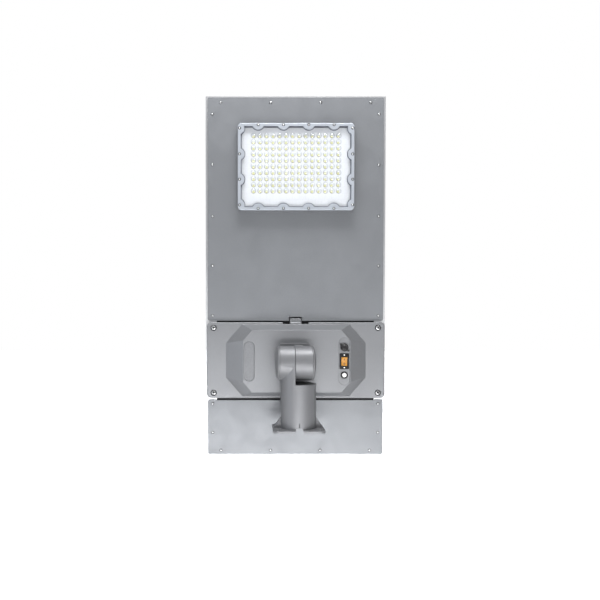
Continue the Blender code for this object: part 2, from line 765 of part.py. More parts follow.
def build_button():
    """A sprung round button in a dark ring."""
    bore = BUTTON_BARREL_RADIUS - 0.0003
    flange = 0.0078
    ring = [(bore, 0.0020), (flange - 0.0004, 0.0020), (flange, 0.0014), (flange, 0)]
    ring += [(BUTTON_BARREL_RADIUS, 0), (BUTTON_BARREL_RADIUS, -0.0126)]
    ring += [(bore, -0.0126), (bore, 0.0020)]
    place = (RECESS_X, RECESS_FLOOR_Y - GAP, BOX_Z - PORT_PITCH)
    on_head(turned("button_ring", ring, "black_plastic", place, UPRIGHT, 28))
    face = [(0, 0.0034), (0.0040, 0.0031), (BUTTON_RADIUS, 0.0024)]
    face += [(BUTTON_RADIUS, -0.0086), (0, -0.0086)]
    on_head(turned("push_button", face, "white_plastic", place, UPRIGHT, 28))


# ---------------------------------------------------------------- inside the housing
def strap_section():
    """A strap's section around the battery: (height, depth), with feet on the housing."""
    inner = DOME_FACE_Y + SHELL + GAP
    side = BATTERY_HALF_HEIGHT + GAP
    back = BATTERY_BACK_Y + GAP
    far_side = side + STRAP_STRIP
    section = [(-STRAP_FOOT, inner), (-side, inner), (-side, back), (side, back), (side, inner)]
    section += [(STRAP_FOOT, inner), (STRAP_FOOT, inner + STRAP_STRIP)]
    section += [(far_side, inner + STRAP_STRIP), (far_side, back + STRAP_STRIP)]
    section += [(-far_side, back + STRAP_STRIP), (-far_side, inner + STRAP_STRIP)]
    section += [(-STRAP_FOOT, inner + STRAP_STRIP)]
    return section


def build_battery():
    """The battery pack and the two straps that hold it to the housing's face."""
    low = (BATTERY_LEFT, BATTERY_FRONT_Y, BOX_Z - BATTERY_HALF_HEIGHT)
    high = (BATTERY_RIGHT, BATTERY_BACK_Y, BOX_Z + BATTERY_HALF_HEIGHT)
    size, centre = span(low, high)
    battery = on_head(show_part("battery_pack", box_mesh(size), "blue_wrap", centre))
    round_edges(battery, 0.004)
    straps = (
        ("battery_strap_left", BATTERY_LEFT + 0.021),
        ("battery_strap_right", BATTERY_RIGHT - 0.018),
    )
    for name, x in straps:
        mesh = plate_mesh([strap_section()], STRAP_WIDTH)
        # the section's first number runs along Z, its second along Y, and its width along X
        axes = Matrix(((0, 0, -1, x), (0, 1, 0, 0), (1, 0, 0, BOX_Z), (0, 0, 0, 1)))
        mesh.transform(axes)
        on_head(show_part(name, mesh, "steel"))


def build_charge_controller():
    inner = DOME_FACE_Y + SHELL + GAP
    size, centre = span((0.040, inner, BOX_Z - 0.055), (0.088, inner + 0.024, BOX_Z + 0.045))
    case = on_head(show_part("charge_controller", box_mesh(size), "cast_aluminium", centre))
    round_edges(case, 0.0015)


def build_leads():
    """The lamp module's lead, behind the pan, and the battery's lead inside the housing."""
    hole_x = PLATE_LEAD_HOLE[0]
    hole_z = BOX_Z + PLATE_LEAD_HOLE[1]
    lamp_route = [
        (0, LED_FLOOR_Y + 0.0004, LED_Z),
        (0, LEAD_Y - 0.0095, LED_Z),
        (0.004, LEAD_Y - 0.0020, LED_Z - 0.012),
        (0.015, LEAD_Y, LED_Z - 0.060),
        (0.045, LEAD_Y, LED_Z - 0.200),
        (hole_x, LEAD_Y - 0.0010, hole_z + 0.030),
        (hole_x, LEAD_Y - 0.0060, hole_z + 0.006),
        (hole_x, 0.0880, hole_z),
        (hole_x, 0.0820, hole_z - 0.002),
        (hole_x + 0.002, 0.0755, hole_z - 0.010),
        (hole_x + 0.004, 0.0735, hole_z - 0.022),
    ]
    on_head(cable("lamp_lead", lamp_route, 0.0026, "black_rubber", 4))
    battery_route = [
        (BATTERY_RIGHT + 2 * GAP, 0.070, BOX_Z - 0.035),
        (BATTERY_RIGHT + 0.004, 0.070, BOX_Z - 0.035),
        (0.0345, 0.074, BOX_Z - 0.030),
        (0.0400, 0.078, BOX_Z - 0.020),
        (0.0500, 0.0785, BOX_Z - 0.010),
        (0.0580, 0.0755, BOX_Z - 0.004),
    ]
    on_head(cable("battery_lead", battery_route, 0.0020, "black_rubber", 3))


# ---------------------------------------------------------------- lamp module
def lobed_outline(band, lobe_radius):
    """An outline inside the module's outer edge by `band`, bitten into by each screw's lobe.

    A lobe beside a corner ends on the neighbouring edge, and takes the corner away.
    """
    points = []
    for quarter in range(4):
        sideways = quarter % 2 == 1
        across = (LED_HEIGHT if sideways else LED_WIDTH) / 2
        limit = (LED_WIDTH if sideways else LED_HEIGHT) / 2 - band
        wide = math.degrees(math.acos((band - LOBE_INSET) / lobe_radius))
        local = []
        for along in LOBES_ACROSS if sideways else LOBES_UP:
            to_low = math.degrees(math.asin(min(1, (along + limit) / lobe_radius)))
            to_high = math.degrees(math.asin(min(1, (limit - along) / lobe_radius)))
            low = min(wide, to_low)
            high = min(wide, to_high)
            local += arc((across - LOBE_INSET, along), lobe_radius, 180 + low, 180 - high, 7)
        turn = Matrix.Rotation(quarter * math.pi / 2, 2)
        points += [tuple(turn @ Vector(point)) for point in local]
    return points


def build_lamp_module():
    """The light module on the upper pan: base, board, lens, seal and screwed bezel."""
    margin = 2 * LED_BASE_MARGIN
    footprint = rounded_rectangle(LED_WIDTH + margin, LED_HEIGHT + margin, LED_CORNER + 0.002, 4)
    base = upright_plate(
        "lamp_base", [footprint], LED_BASE_FACE_Y, LED_BACK_Y, "grey_coat", z=LED_Z
    )
    pocket = [rounded_rectangle(*LED_POCKET, 0.004, 2)]
    combine(base, plate_cutter(pocket, LED_BASE_FACE_Y - 0.005, LED_FLOOR_Y, z=LED_Z))
    lead_hole = [circle(0.005, 16)]
    combine(base, plate_cutter(lead_hole, LED_FLOOR_Y - 0.005, LED_BACK_Y + 0.005, z=LED_Z))
    on_head(base)

    board = [rounded_rectangle(*LED_BOARD, 0.0035, 2)]
    board_back = LED_FLOOR_Y - GAP
    board_face = board_back - BOARD_THICKNESS
    on_head(upright_plate("lamp_board", board, board_face, board_back, "white_board", z=LED_Z))

    lens = [lobed_outline(BEZEL_BAND - 0.0028, LOBE_RADIUS + 0.0006)]
    on_head(upright_plate("lamp_lens", lens, LENS_FACE_Y, LENS_BACK_Y, "lens", z=LED_Z))
    seal_face = LED_BEZEL_FACE_Y + BEZEL_SHEET + GAP
    seal = [
        lobed_outline(BEZEL_BAND - 0.0028, LOBE_RADIUS + 0.0006),
        lobed_outline(SEAL_BAND, LOBE_RADIUS + 0.0020),
    ]
    seal_back = seal_face + SEAL_THICKNESS
    on_head(upright_plate("lamp_seal", seal, seal_face, seal_back, "grey_rubber", z=LED_Z))

    outer = [rounded_rectangle(LED_WIDTH, LED_HEIGHT, LED_CORNER, 4)]
    bezel_back = LED_BASE_FACE_Y - GAP
    bezel = upright_plate(
        "lamp_bezel", outer, LED_BEZEL_FACE_Y, bezel_back, "bare_aluminium", z=LED_Z
    )
    window = [lobed_outline(BEZEL_BAND, LOBE_RADIUS)]
    combine(bezel, plate_cutter(window, LED_BEZEL_FACE_Y - 0.01, bezel_back + 0.01, z=LED_Z))
    rebate = [lobed_outline(BEZEL_BAND - 0.0031, LOBE_RADIUS + 0.0002)]
    rebate_face = LED_BEZEL_FACE_Y + BEZEL_SHEET
    combine(bezel, plate_cutter(rebate, rebate_face, bezel_back + 0.01, z=LED_Z))
    on_head(bezel)


# ---------------------------------------------------------------- tilt head and sleeve
def bracket_bolt_places():
    return [(x, PIVOT_Z + z) for z in BRACKET_BOLT_Z for x in BRACKET_BOLT_X]


def build_tilt_bracket():
    """The head's knuckle, on a neck and a plate that is bolted to the housing's face."""
    plate_back = DOME_FACE_Y - GAP
    plate_front = plate_back - BRACKET_PLATE_THICKNESS
    start = SPLIT_X + SPLIT_GAP / 2
    length = HEAD_KNUCKLE_END - start
    knuckle = round_mesh(KNUCKLE_RADIUS, length, 48)
    middle = (start + length / 2, 0, PIVOT_Z)
    bracket = show_part("tilt_bracket", knuckle, "housing_coat", middle, ALONG_X)
    size, centre = span(
        (start + 0.0004, 0.004, PIVOT_Z - 0.030),
        (0.0120, plate_front + 0.002, PIVOT_Z + 0.0350),
    )
    combine(bracket, cutter(box_mesh(size), centre), "UNION")
    foot = [rounded_rectangle(*BRACKET_PLATE, 0.006, 3)]
    plate_z = PIVOT_Z + BRACKET_PLATE_RISE
    plate = plate_cutter(foot, plate_front, plate_back, BRACKET_PLATE_X, plate_z)
    combine(bracket, plate, "UNION")
    bore = round_mesh(BOLT_BORE_RADIUS, 0.2, 32)
    combine(bracket, cutter(bore, (0, 0, PIVOT_Z), ALONG_X))
    counterbore = round_mesh(COUNTERBORE_RADIUS, 0.03, 32)
    combine(bracket, cutter(counterbore, (NUT_SEAT_X + 0.015, 0, PIVOT_Z), ALONG_X))
    for x, z in bracket_bolt_places():
        hole = round_mesh(0.0027, 0.008, 16)
        combine(bracket, cutter(hole, (x, plate_back + 0.0005, z), UPRIGHT))
    on_head(bracket)


def build_bracket_bolts():
    """Bolts from inside the housing into the bracket's plate."""
    inner = DOME_FACE_Y + SHELL + GAP
    for index, (x, z) in enumerate(bracket_bolt_places(), 1):
        profile = [(0, 0.0064), (0.0024, 0.0064), (0.0024, 0)]
        profile += [(0.0048, 0), (0.0048, -0.0022), (0, -0.0022)]
        place = (x, inner, z)
        on_head(turned(f"bracket_bolt_{index}", profile, "steel", place, UPRIGHT, 12))


def build_sleeve():
    """The pole sleeve: a tube with the arm's knuckle on top and a notched foot below."""
    tube = round_mesh(SLEEVE_RADIUS, PIVOT_Z - 0.002, 48)
    sleeve = show_part("pole_sleeve", tube, "housing_coat", (0, 0, PIVOT_Z / 2 + 0.001))
    end = SPLIT_X - SPLIT_GAP / 2
    knuckle = round_mesh(KNUCKLE_RADIUS, end - ARM_KNUCKLE_END, 48)
    middle = ((ARM_KNUCKLE_END + end) / 2, 0, PIVOT_Z)
    size, centre = span((end, -0.06, SHOULDER_Z), (0.06, 0.06, PIVOT_Z + 0.06))
    combine(sleeve, cutter(box_mesh(size), centre))
    combine(sleeve, cutter(knuckle, middle, ALONG_X), "UNION")

    foot = plate_mesh([rounded_rectangle(FOOT_WIDTH, FOOT_DEPTH, 0.012, 4)], FOOT_THICKNESS)
    combine(sleeve, cutter(foot, (0, 0, FOOT_THICKNESS / 2)), "UNION")
    tip = FOOT_WIDTH / 2 - 0.001
    gusset = [(0.033, 0.027), (0.037, 0.0265), (tip, 0.0045), (tip, 0.002), (0.033, 0.002)]
    for side in (1, -1):
        outline = [(side * x, z) for x, z in gusset]
        combine(sleeve, plate_cutter([outline], -0.007, 0.007), "UNION")

    bore = round_mesh(BORE_RADIUS, BORE_TOP + 0.01, 48)
    combine(sleeve, cutter(bore, (0, 0, BORE_TOP / 2 - 0.005)))
    notch = round_mesh(NOTCH_RADIUS, 0.2, 24)
    combine(sleeve, cutter(notch, (0, 0, 0.0005), UPRIGHT))
    bolt_bore = round_mesh(BOLT_BORE_RADIUS, 0.1, 32)
    combine(sleeve, cutter(bolt_bore, (-0.02, 0, PIVOT_Z), ALONG_X))
    counterbore = round_mesh(COUNTERBORE_RADIUS, 0.03, 32)
    combine(sleeve, cutter(counterbore, (HEAD_SEAT_X - 0.015, 0, PIVOT_Z), ALONG_X))
    for x in (-FOOT_HOLE_X, FOOT_HOLE_X):
        for y in (-FOOT_HOLE_Y, FOOT_HOLE_Y):
            hole = round_mesh(FOOT_HOLE_RADIUS, 0.03, 20)
            combine(sleeve, cutter(hole, (x, y, 0)))
    for z in SET_SCREW_Z:
        hole = round_mesh(SET_SCREW_RADIUS + 0.0004, 0.03, 24)
        combine(sleeve, cutter(hole, (SLEEVE_RADIUS, 0, z), ALONG_X))


def build_set_screws():
    """Grub screws in the sleeve's right wall, flush with it, with hexagon sockets."""
    for index, z in enumerate(SET_SCREW_Z, 1):
        outer_end = SLEEVE_RADIUS - 0.0005
        place = (outer_end - SET_SCREW_LENGTH / 2, 0, z)
        body = round_mesh(SET_SCREW_RADIUS, SET_SCREW_LENGTH, 24)
        screw = show_part(f"set_screw_{index}", body, "steel", place, ALONG_X)
        socket = round_mesh(0.0029, 0.005, 6)
        combine(screw, cutter(socket, (outer_end, 0, z), ALONG_X))


def build_pivot():
    """The clamp bolt through both knuckles, with its washers and nut, and the end caps."""
    hexagon = circle(HEXAGON_RADIUS, 6)
    shank_start = HEAD_SEAT_X - WASHER_THICKNESS - GAP * 2
    shank_end = NUT_SEAT_X + 0.0110
    head = plate_mesh([hexagon], HEX_HEAD_HEIGHT)
    head_x = shank_start - HEX_HEAD_HEIGHT / 2
    bolt = show_part("pivot_bolt", head, "steel", (head_x, 0, PIVOT_Z), ALONG_X)
    shank = round_mesh(BOLT_RADIUS, shank_end - shank_start + 0.002, 32)
    middle = ((shank_start - 0.002 + shank_end) / 2, 0, PIVOT_Z)
    combine(bolt, cutter(shank, middle, ALONG_X), "UNION")

    washer = [circle(WASHER_RADIUS, 32), circle(BOLT_BORE_RADIUS, 32)]
    left = HEAD_SEAT_X - GAP - WASHER_THICKNESS / 2
    right = NUT_SEAT_X + GAP + WASHER_THICKNESS / 2
    for name, x in (("washer_left", left), ("washer_right", right)):
        show_part(name, plate_mesh(washer, WASHER_THICKNESS), "steel", (x, 0, PIVOT_Z), ALONG_X)
    nut = [hexagon, circle(BOLT_BORE_RADIUS, 32)]
    nut_x = right + WASHER_THICKNESS / 2 + GAP + NUT_HEIGHT / 2
    show_part("pivot_nut", plate_mesh(nut, NUT_HEIGHT), "steel", (nut_x, 0, PIVOT_Z), ALONG_X)

    build_end_cap("end_cap_left", ARM_KNUCKLE_END - GAP, -1, 0.0092)
    on_head(build_end_cap("end_cap_right", HEAD_KNUCKLE_END + GAP, 1, 0.0079))


def build_end_cap(name, seat_x, side, crown):
    """A domed cap on a knuckle's end, with a short spigot in the counterbore."""
    radius = KNUCKLE_RADIUS - 0.0008
    edge = 0.0015
    steps = 7
    profile = []
    for step in range(steps + 1):
        angle = math.pi / 2 * step / steps
        height = edge + (crown - edge) * math.cos(angle)
        profile.append((radius * math.sin(angle), height))
    profile += [(radius, 0), (COUNTERBORE_RADIUS - GAP * 2, 0)]
    profile += [(COUNTERBORE_RADIUS - GAP * 2, -0.0012), (0, -0.0012)]
    turn = side * math.pi / 2
    return turned(name, profile, "housing_coat", (seat_x, 0, PIVOT_Z), (0, turn, 0), 40)


def build():
    build_panel()
    build_junction_box()
    build_pans()
    build_housing()
    build_label()
    build_back_plate()
    build_corner_screws()
    build_charge_socket()
    build_socket_cap()
    build_switch()
    build_button()
    build_battery()
    build_charge_controller()
    build_leads()
    build_lamp_module()
    build_tilt_bracket()
    build_bracket_bolts()
    build_sleeve()
    build_set_screws()
    build_pivot()


build()
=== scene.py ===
"""Looks for the all-in-one solar street lamp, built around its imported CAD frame.

World axes, in metres: +Z runs up the pole sleeve, -Y points out of the lamp's light side,
+X is to the right when looking at the light side. The origin is the centre of the sleeve's
mouth. Pieces are modelled where they stand, so their object coordinates are the world's.
"""

import math

import bmesh
import bpy
from mathutils import Matrix, Vector


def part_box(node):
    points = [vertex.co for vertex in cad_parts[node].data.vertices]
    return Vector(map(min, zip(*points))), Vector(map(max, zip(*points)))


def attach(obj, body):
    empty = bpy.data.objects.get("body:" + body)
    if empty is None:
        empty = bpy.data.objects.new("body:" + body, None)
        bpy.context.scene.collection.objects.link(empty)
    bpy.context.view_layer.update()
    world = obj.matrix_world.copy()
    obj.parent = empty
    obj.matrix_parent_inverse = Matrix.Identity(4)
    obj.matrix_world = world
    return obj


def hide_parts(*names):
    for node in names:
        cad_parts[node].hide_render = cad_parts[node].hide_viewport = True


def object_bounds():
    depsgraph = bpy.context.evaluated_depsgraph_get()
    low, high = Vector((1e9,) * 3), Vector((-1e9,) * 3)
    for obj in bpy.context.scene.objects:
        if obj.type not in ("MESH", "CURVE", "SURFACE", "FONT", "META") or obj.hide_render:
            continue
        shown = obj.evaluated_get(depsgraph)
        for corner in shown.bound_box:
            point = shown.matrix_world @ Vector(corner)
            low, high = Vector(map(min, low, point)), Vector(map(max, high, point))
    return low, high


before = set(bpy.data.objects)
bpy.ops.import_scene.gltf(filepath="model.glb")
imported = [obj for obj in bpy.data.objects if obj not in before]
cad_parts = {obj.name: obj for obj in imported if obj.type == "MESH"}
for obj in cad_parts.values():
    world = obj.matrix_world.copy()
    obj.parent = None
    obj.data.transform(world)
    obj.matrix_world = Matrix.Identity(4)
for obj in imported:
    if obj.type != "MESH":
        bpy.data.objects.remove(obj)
CAD_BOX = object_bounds()

# ---- places read from the frame


def middle(node):
    low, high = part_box(node)
    return (low + high) / 2


HOUSING_LOW, HOUSING_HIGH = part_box("control_housing")
BOX_X = HOUSING_HIGH.x  # half the control housing's width
BOX_Z = middle("switch_surround").z
BOX_HALF = BOX_Z - HOUSING_LOW.z
BOX_BACK_Y = HOUSING_HIGH.y
DOME_FACE_Y = HOUSING_LOW.y
TAB_TOP = HOUSING_HIGH.z
PIVOT_Z = middle("washer_left").z
PANEL_LOW, PANEL_HIGH = CAD_BOX
PANEL_Z = (PANEL_LOW.z + PANEL_HIGH.z) / 2
LED = middle("lamp_bezel")
LED_LOW, LED_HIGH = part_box("lamp_bezel")
LED_WIDTH = LED_HIGH.x - LED_LOW.x
LED_HEIGHT = LED_HIGH.z - LED_LOW.z
LENS_FACE_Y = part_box("lamp_lens")[0].y
BOARD_FACE_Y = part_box("lamp_board")[0].y
PAN_FACE_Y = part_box("upper_back_pan")[0].y
LOWER_PAN_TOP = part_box("lower_back_pan")[1].z
LAMINATE_FACE_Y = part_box("solar_laminate")[1].y
SOCKET = middle("charge_socket")
SOCKET_FACE_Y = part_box("charge_socket")[0].y
PORT_X = SOCKET.x
SWITCH_FACE_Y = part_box("switch_surround")[0].y
BUTTON = middle("push_button")

# ---- sizes of the detailed pieces
GAP = 0.0003

# Control housing
RIM_FACE_Y = 0.0740
BOX_CORNER = 0.009
BOX_EDGE = 0.0024
SHELL = 0.003
RIM_WALL = 0.005
DOME_FOOT = (0.1545, 0.0796, 0.1417)
DOME_FACE = (0.1163, 0.0676, 0.1173)
DOME_CORNER_SLOPE = 1.15
TAB_HALF_WIDTH = 0.0125
TAB_STEP_REACH = 0.0285
TAB_STEP_DROP = 0.0042
SCREW_X = 0.182
SCREW_Z = 0.072
RECESS_WIDTH = 0.0238
RECESS_DEPTH = 0.0016
PORT_RECESS_HEIGHT = 0.1034
LABEL_RECESS_HEIGHT = 0.0865
PORT_PITCH = 0.030
SOCKET_HOLE_RADIUS = 0.0067
SWITCH_HOLE = (0.0170, 0.0310, 0.001)
BUTTON_HOLE_RADIUS = 0.0064
SCREW_HOLE_RADIUS = 0.0028
SCREW_SINK_RADIUS = 0.0067
SCREW_SINK_DEPTH = 0.0016
CORNER_SCREW = (0.0048, 0.0022)  # radius and height
CORNER_SCREW_DEPTH = 0.0015

# Rocker, which rests tipped to one side
ROCKER_REST = math.radians(10)
ROCKER_REACH = 0.0093

# Pans
PAN_SCREWS_ACROSS = (-0.1665, -0.0555, 0.0555, 0.1665)
PAN_SCREW_ROWS = (0.386, -0.388)  # heights above the panel's middle
PAN_SCREW_SIDE = 0.185
PAN_SCREWS_UP = (0.360, 0.249, 0.135, 0.025, -0.086, -0.283, -0.348)
# how far to each side the black strips of painted shade behind the housing's gaps reach
GAP_SHADE_REACH = 0.1765
# how far the lower pan's top edge is cut back over the lower strip
PAN_CUT_BACK = 0.0018

# Solar cells
CELL_COLUMNS = 4
CELL_ROWS = 9
CELL_PITCH = (0.0915, 0.0850)
CELL_SIZE = (0.0890, 0.0825)
CELL_CORNER = 0.006
BUSBARS = 5
FINGER_PITCH = 0.0017

# Lamp module
BEZEL_BAND = 0.0064
LOBE_INSET = 0.0010
LOBE_RADIUS = 0.0133
LOBES_ACROSS = (-0.0832, -0.0277, 0.0277, 0.0832)
LOBES_UP = (-0.0838, -0.0277, 0.0277, 0.0838)
BEZEL_SCREW_INSET = 0.0037
LENS_COLUMNS = 14
LENS_ROWS = 10
LENS_PITCH_X = 0.0144
LENS_PITCH_Z = 0.0134
LENS_LIFT = 0.0076  # the lens field's centre above the module's
LENS_RADIUS = 0.0053
LENS_HEIGHT = 0.0030
PACKAGE_HALF = 0.0018
PACKAGE_HEIGHT = 0.0007

# Sleeve and tilt head
SLEEVE_RADIUS = 0.037
BORE_RADIUS = 0.031
BORE_TOP = 0.090
SHOULDER_Z = PIVOT_Z - 0.043
KNUCKLE_RADIUS = 0.0356
SPLIT_X = -0.0078
SPLIT_GAP = 0.0005
ARM_KNUCKLE_END = -0.0393
HEAD_KNUCKLE_END = 0.0284
BOLT_BORE_RADIUS = 0.0061
COUNTERBORE_RADIUS = 0.0130
HEAD_SEAT_X = -0.0270
NUT_SEAT_X = 0.0160
BRACKET_PLATE = (0.0660, 0.0735)
BRACKET_PLATE_X = -0.0045
BRACKET_PLATE_RISE = 0.00275
FOOT = (0.107, 0.090)
FOOT_THICKNESS = 0.005
FOOT_HOLE_X = 0.043
FOOT_HOLE_Y = 0.030
FOOT_HOLE_RADIUS = 0.0045
NOTCH_RADIUS = 0.009
SET_SCREW_HOLE_RADIUS = 0.0054
SET_SCREW_Z = (0.045, 0.075)
CAP_STEPS = 14

# Studio
CAMERA_PLACE = (-0.090, -1.2115, 0.235)
CAMERA_PITCH = math.radians(-1.26)
CAMERA_LENS = 34.87
CAMERA_SHIFT = (0.0748, 0.0503)
FLOOR_DROP = 0.45  # the floor is this far below the lamp, which stands as on its pole
FLOOR_GLOW = 0.12  # the light that the floor sends up
FLOOR_WHITE = 0.50  # what the camera sees on top of that
SKY_LOW = 0.43  # the light of the sky near the horizon
SKY_HIGH = 1.05  # and overhead
SKY_LEFT = 0.55  # the share of it that comes from the left
SKY_RIGHT = 0.30  # and from the right


# ---- outlines
def arc(centre, radius, start, end, steps):
    """Points on a circle from one angle to another, in degrees."""
    points = []
    for step in range(steps + 1):
        angle = math.radians(start + (end - start) * step / steps)
        points.append(
            (centre[0] + radius * math.cos(angle), centre[1] + radius * math.sin(angle))
        )
    return points


def circle(radius):
    return arc((0, 0), radius, 0, 360, 48)[:-1]


def rounded_rectangle(width, height, radius, steps=8):
    x = width / 2 - radius
    z = height / 2 - radius
    points = []
    for quarter, centre in enumerate(((x, z), (-x, z), (-x, -z), (x, -z))):
        points += arc(centre, radius, 90 * quarter, 90 * quarter + 90, steps)
    return points


def capsule(width, height):
    """An upright oval slot with half-round ends."""
    reach = height / 2 - width / 2
    return arc((0, reach), width / 2, 0, 180, 20) + arc((0, -reach), width / 2, 180, 360, 20)


def mirrored(quarter):
    """A closed outline from its points in the quarter right of and above the middle."""
    upper = quarter + [(-x, z) for x, z in reversed(quarter)]
    return upper + [(-x, -z) for x, z in upper]


def octagon(distances, inset):
    """An eight-sided outline from its sides' distances, each drawn in by the same inset."""
    side_x, top_z, corner = (distance - inset for distance in distances)
    reach = corner * math.hypot(1, DOME_CORNER_SLOPE)
    corner_z = reach - side_x * DOME_CORNER_SLOPE
    corner_x = (reach - top_z) / DOME_CORNER_SLOPE
    return mirrored([(side_x, corner_z), (corner_x, top_z)])


def lobed_outline(band, lobe_radius):
    """An outline inside the lamp's edge by `band`, bitten into by the lobe at each screw."""
    points = []
    for quarter in range(4):
        sideways = quarter % 2 == 1
        across = (LED_HEIGHT if sideways else LED_WIDTH) / 2
        limit = (LED_WIDTH if sideways else LED_HEIGHT) / 2 - band
        wide = math.degrees(math.acos((band - LOBE_INSET) / lobe_radius))
        local = []
        for along in LOBES_ACROSS if sideways else LOBES_UP:
            to_low = math.degrees(math.asin(min(1, (along + limit) / lobe_radius)))
            to_high = math.degrees(math.asin(min(1, (limit - along) / lobe_radius)))
            low = 180 + min(wide, to_low)
            high = 180 - min(wide, to_high)
            local += arc((across - LOBE_INSET, along), lobe_radius, low, high, 14)
        turn = Matrix.Rotation(quarter * math.pi / 2, 2)
        points += [tuple(turn @ Vector(point)) for point in local]
    return points


# ---- mesh tools
def finished(bm, name="mesh"):
    mesh = bpy.data.meshes.new(name)
    bm.to_mesh(mesh)
    bm.free()
    return mesh


def evaluated(obj):
    """The object's mesh with its modifiers applied; the object is removed."""
    depsgraph = bpy.context.evaluated_depsgraph_get()
    mesh = bpy.data.meshes.new_from_object(obj.evaluated_get(depsgraph))
    bpy.data.objects.remove(obj)
    return mesh


def new_object(name, data):
    obj = bpy.data.objects.new(name, data)
    bpy.context.scene.collection.objects.link(obj)
    return obj


def opened(mesh):
    """An editable copy of the mesh, which is removed."""
    bm = bmesh.new()
    bm.from_mesh(mesh)
    bpy.data.meshes.remove(mesh)
    return bm


def flatten(bm, reach, angle):
    """Merges vertices within reach, and joins faces that turn by less than the angle."""
    bmesh.ops.remove_doubles(bm, verts=bm.verts, dist=reach)
    limit = math.radians(angle)
    bmesh.ops.dissolve_limit(bm, angle_limit=limit, verts=bm.verts, edges=bm.edges)


def stood(bm, centre, axis):
    """The finished mesh with its own Z turned to the axis and its origin at the centre."""
    bmesh.ops.transform(bm, matrix=Matrix.Translation(centre) @ AXES[axis], verts=bm.verts)
    return finished(bm)


def plate(outlines, front, back, x=0.0, z=0.0):
    """An upright sheet between two depths: the first outline, less the others."""
    curve = bpy.data.curves.new("outline", "CURVE")
    curve.dimensions = "2D"
    curve.fill_mode = "BOTH"
    curve.extrude = (back - front) / 2
    for points in outlines:
        spline = curve.splines.new("POLY")
        spline.points.add(len(points) - 1)
        for point, (across, up) in zip(spline.points, points):
            point.co = (across, up, 0, 1)
        spline.use_cyclic_u = True
    mesh = evaluated(new_object("outline", curve))
    mesh.transform(Matrix.Translation((x, (front + back) / 2, z)) @ AXES["-Y"])
    bm = opened(mesh)
    flatten(bm, 0.000005, 0.5)
    bmesh.ops.recalc_face_normals(bm, faces=bm.faces)
    return finished(bm)


def block(low, high):
    bm = bmesh.new()
    bmesh.ops.create_cube(bm, size=1)
    size = Vector(high) - Vector(low)
    bmesh.ops.scale(bm, vec=size, verts=bm.verts)
    bmesh.ops.translate(bm, vec=(Vector(high) + Vector(low)) / 2, verts=bm.verts)
    return finished(bm)


AXES = {
    "X": Matrix.Rotation(math.pi / 2, 4, "Y"),
    "-X": Matrix.Rotation(-math.pi / 2, 4, "Y"),
    "Y": Matrix.Rotation(-math.pi / 2, 4, "X"),
    "-Y": Matrix.Rotation(math.pi / 2, 4, "X"),
    "Z": Matrix.Identity(4),
}


def rod(radius, start, end, centre, axis, steps=48):
    """A cylinder along an axis, from start to end as measured from the centre."""
    bm = bmesh.new()
    size = {"radius1": radius, "radius2": radius, "depth": end - start}
    bmesh.ops.create_cone(bm, cap_ends=True, segments=steps, **size)
    bmesh.ops.translate(bm, vec=(0, 0, (start + end) / 2), verts=bm.verts)
    return stood(bm, centre, axis)


def turned(profile, centre, axis, steps):
    """A piece turned from (radius, height) points, closed where its ends are off the axis."""
    bm = bmesh.new()
    verts = [bm.verts.new((radius, 0, height)) for radius, height in profile]
    pairs = list(zip(verts, verts[1:]))
    if profile[0][0] > 0:
        pairs.append((verts[-1], verts[0]))
    edges = [bm.edges.new(pair) for pair in pairs]
    bmesh.ops.spin(
        bm,
        geom=verts + edges,
        cent=(0, 0, 0),
        axis=(0, 0, 1),
        angle=2 * math.pi,
        steps=steps,
        use_merge=True,
    )
    bmesh.ops.remove_doubles(bm, verts=bm.verts, dist=0.000002)
    bmesh.ops.recalc_face_normals(bm, faces=bm.faces)
    return stood(bm, centre, axis)


def loft(rings):
    """A closed solid through rings of points, each of the same length."""
    bm = bmesh.new()
    loops = [[bm.verts.new(point) for point in ring] for ring in rings]
    bm.faces.new(loops[0])
    bm.faces.new(list(reversed(loops[-1])))
    for lower, upper in zip(loops, loops[1:]):
        for i in range(len(lower)):
            j = (i + 1) % len(lower)
            bm.faces.new((lower[j], lower[i], upper[i], upper[j]))
    bmesh.ops.recalc_face_normals(bm, faces=bm.faces)
    return finished(bm)


def together(meshes):
    """One mesh holding all the given ones."""
    bm = bmesh.new()
    for mesh in meshes:
        bm.from_mesh(mesh)
        bpy.data.meshes.remove(mesh)
    return finished(bm)


def minus(mesh):
    return ("DIFFERENCE", mesh)


def plus(mesh):
    return ("UNION", mesh)


def carve(mesh, *steps):
    """The mesh after each (operation, tool mesh) Boolean in turn, with its flat faces tidied."""
    holder = new_object("holder", mesh)
    tools = []
    for operation, tool_mesh in steps:
        tool = new_object("tool", tool_mesh)
        modifier = holder.modifiers.new("boolean", "BOOLEAN")
        modifier.operation = operation
        modifier.object = tool
        modifier.solver = "EXACT"
        tools.append(tool)
    bm = opened(evaluated(holder))
    for tool in tools:
        bpy.data.objects.remove(tool)
    flatten(bm, 0.00001, 0.3)
    return finished(bm)


def round_front_edge(mesh, radius, segments):
    """Rounds the edge around an upright sheet's front face."""
    bm = opened(mesh)
    front = min(vert.co.y for vert in bm.verts)
    outline = [
        edge
        for edge in bm.edges
        if all(abs(vert.co.y - front) < GAP / 10 for vert in edge.verts)
        and any(abs(face.normal.y) < 0.5 for face in edge.link_faces)
    ]
    bmesh.ops.bevel(
        bm, geom=outline, offset=radius, segments=segments, profile=0.5, affect="EDGES"
    )
    return finished(bm)


# ---- materials
def add_node(tree, kind, inputs=(), **settings):
    """A shader node; each input, by name or number, is set or linked from a socket."""
    node = tree.nodes.new("ShaderNode" + kind)
    for key, value in settings.items():
        setattr(node, key, value)
    for key, value in dict(inputs).items():
        if isinstance(value, bpy.types.NodeSocket):
            tree.links.new(value, node.inputs[key])
        else:
            node.inputs[key].default_value = value
    return node


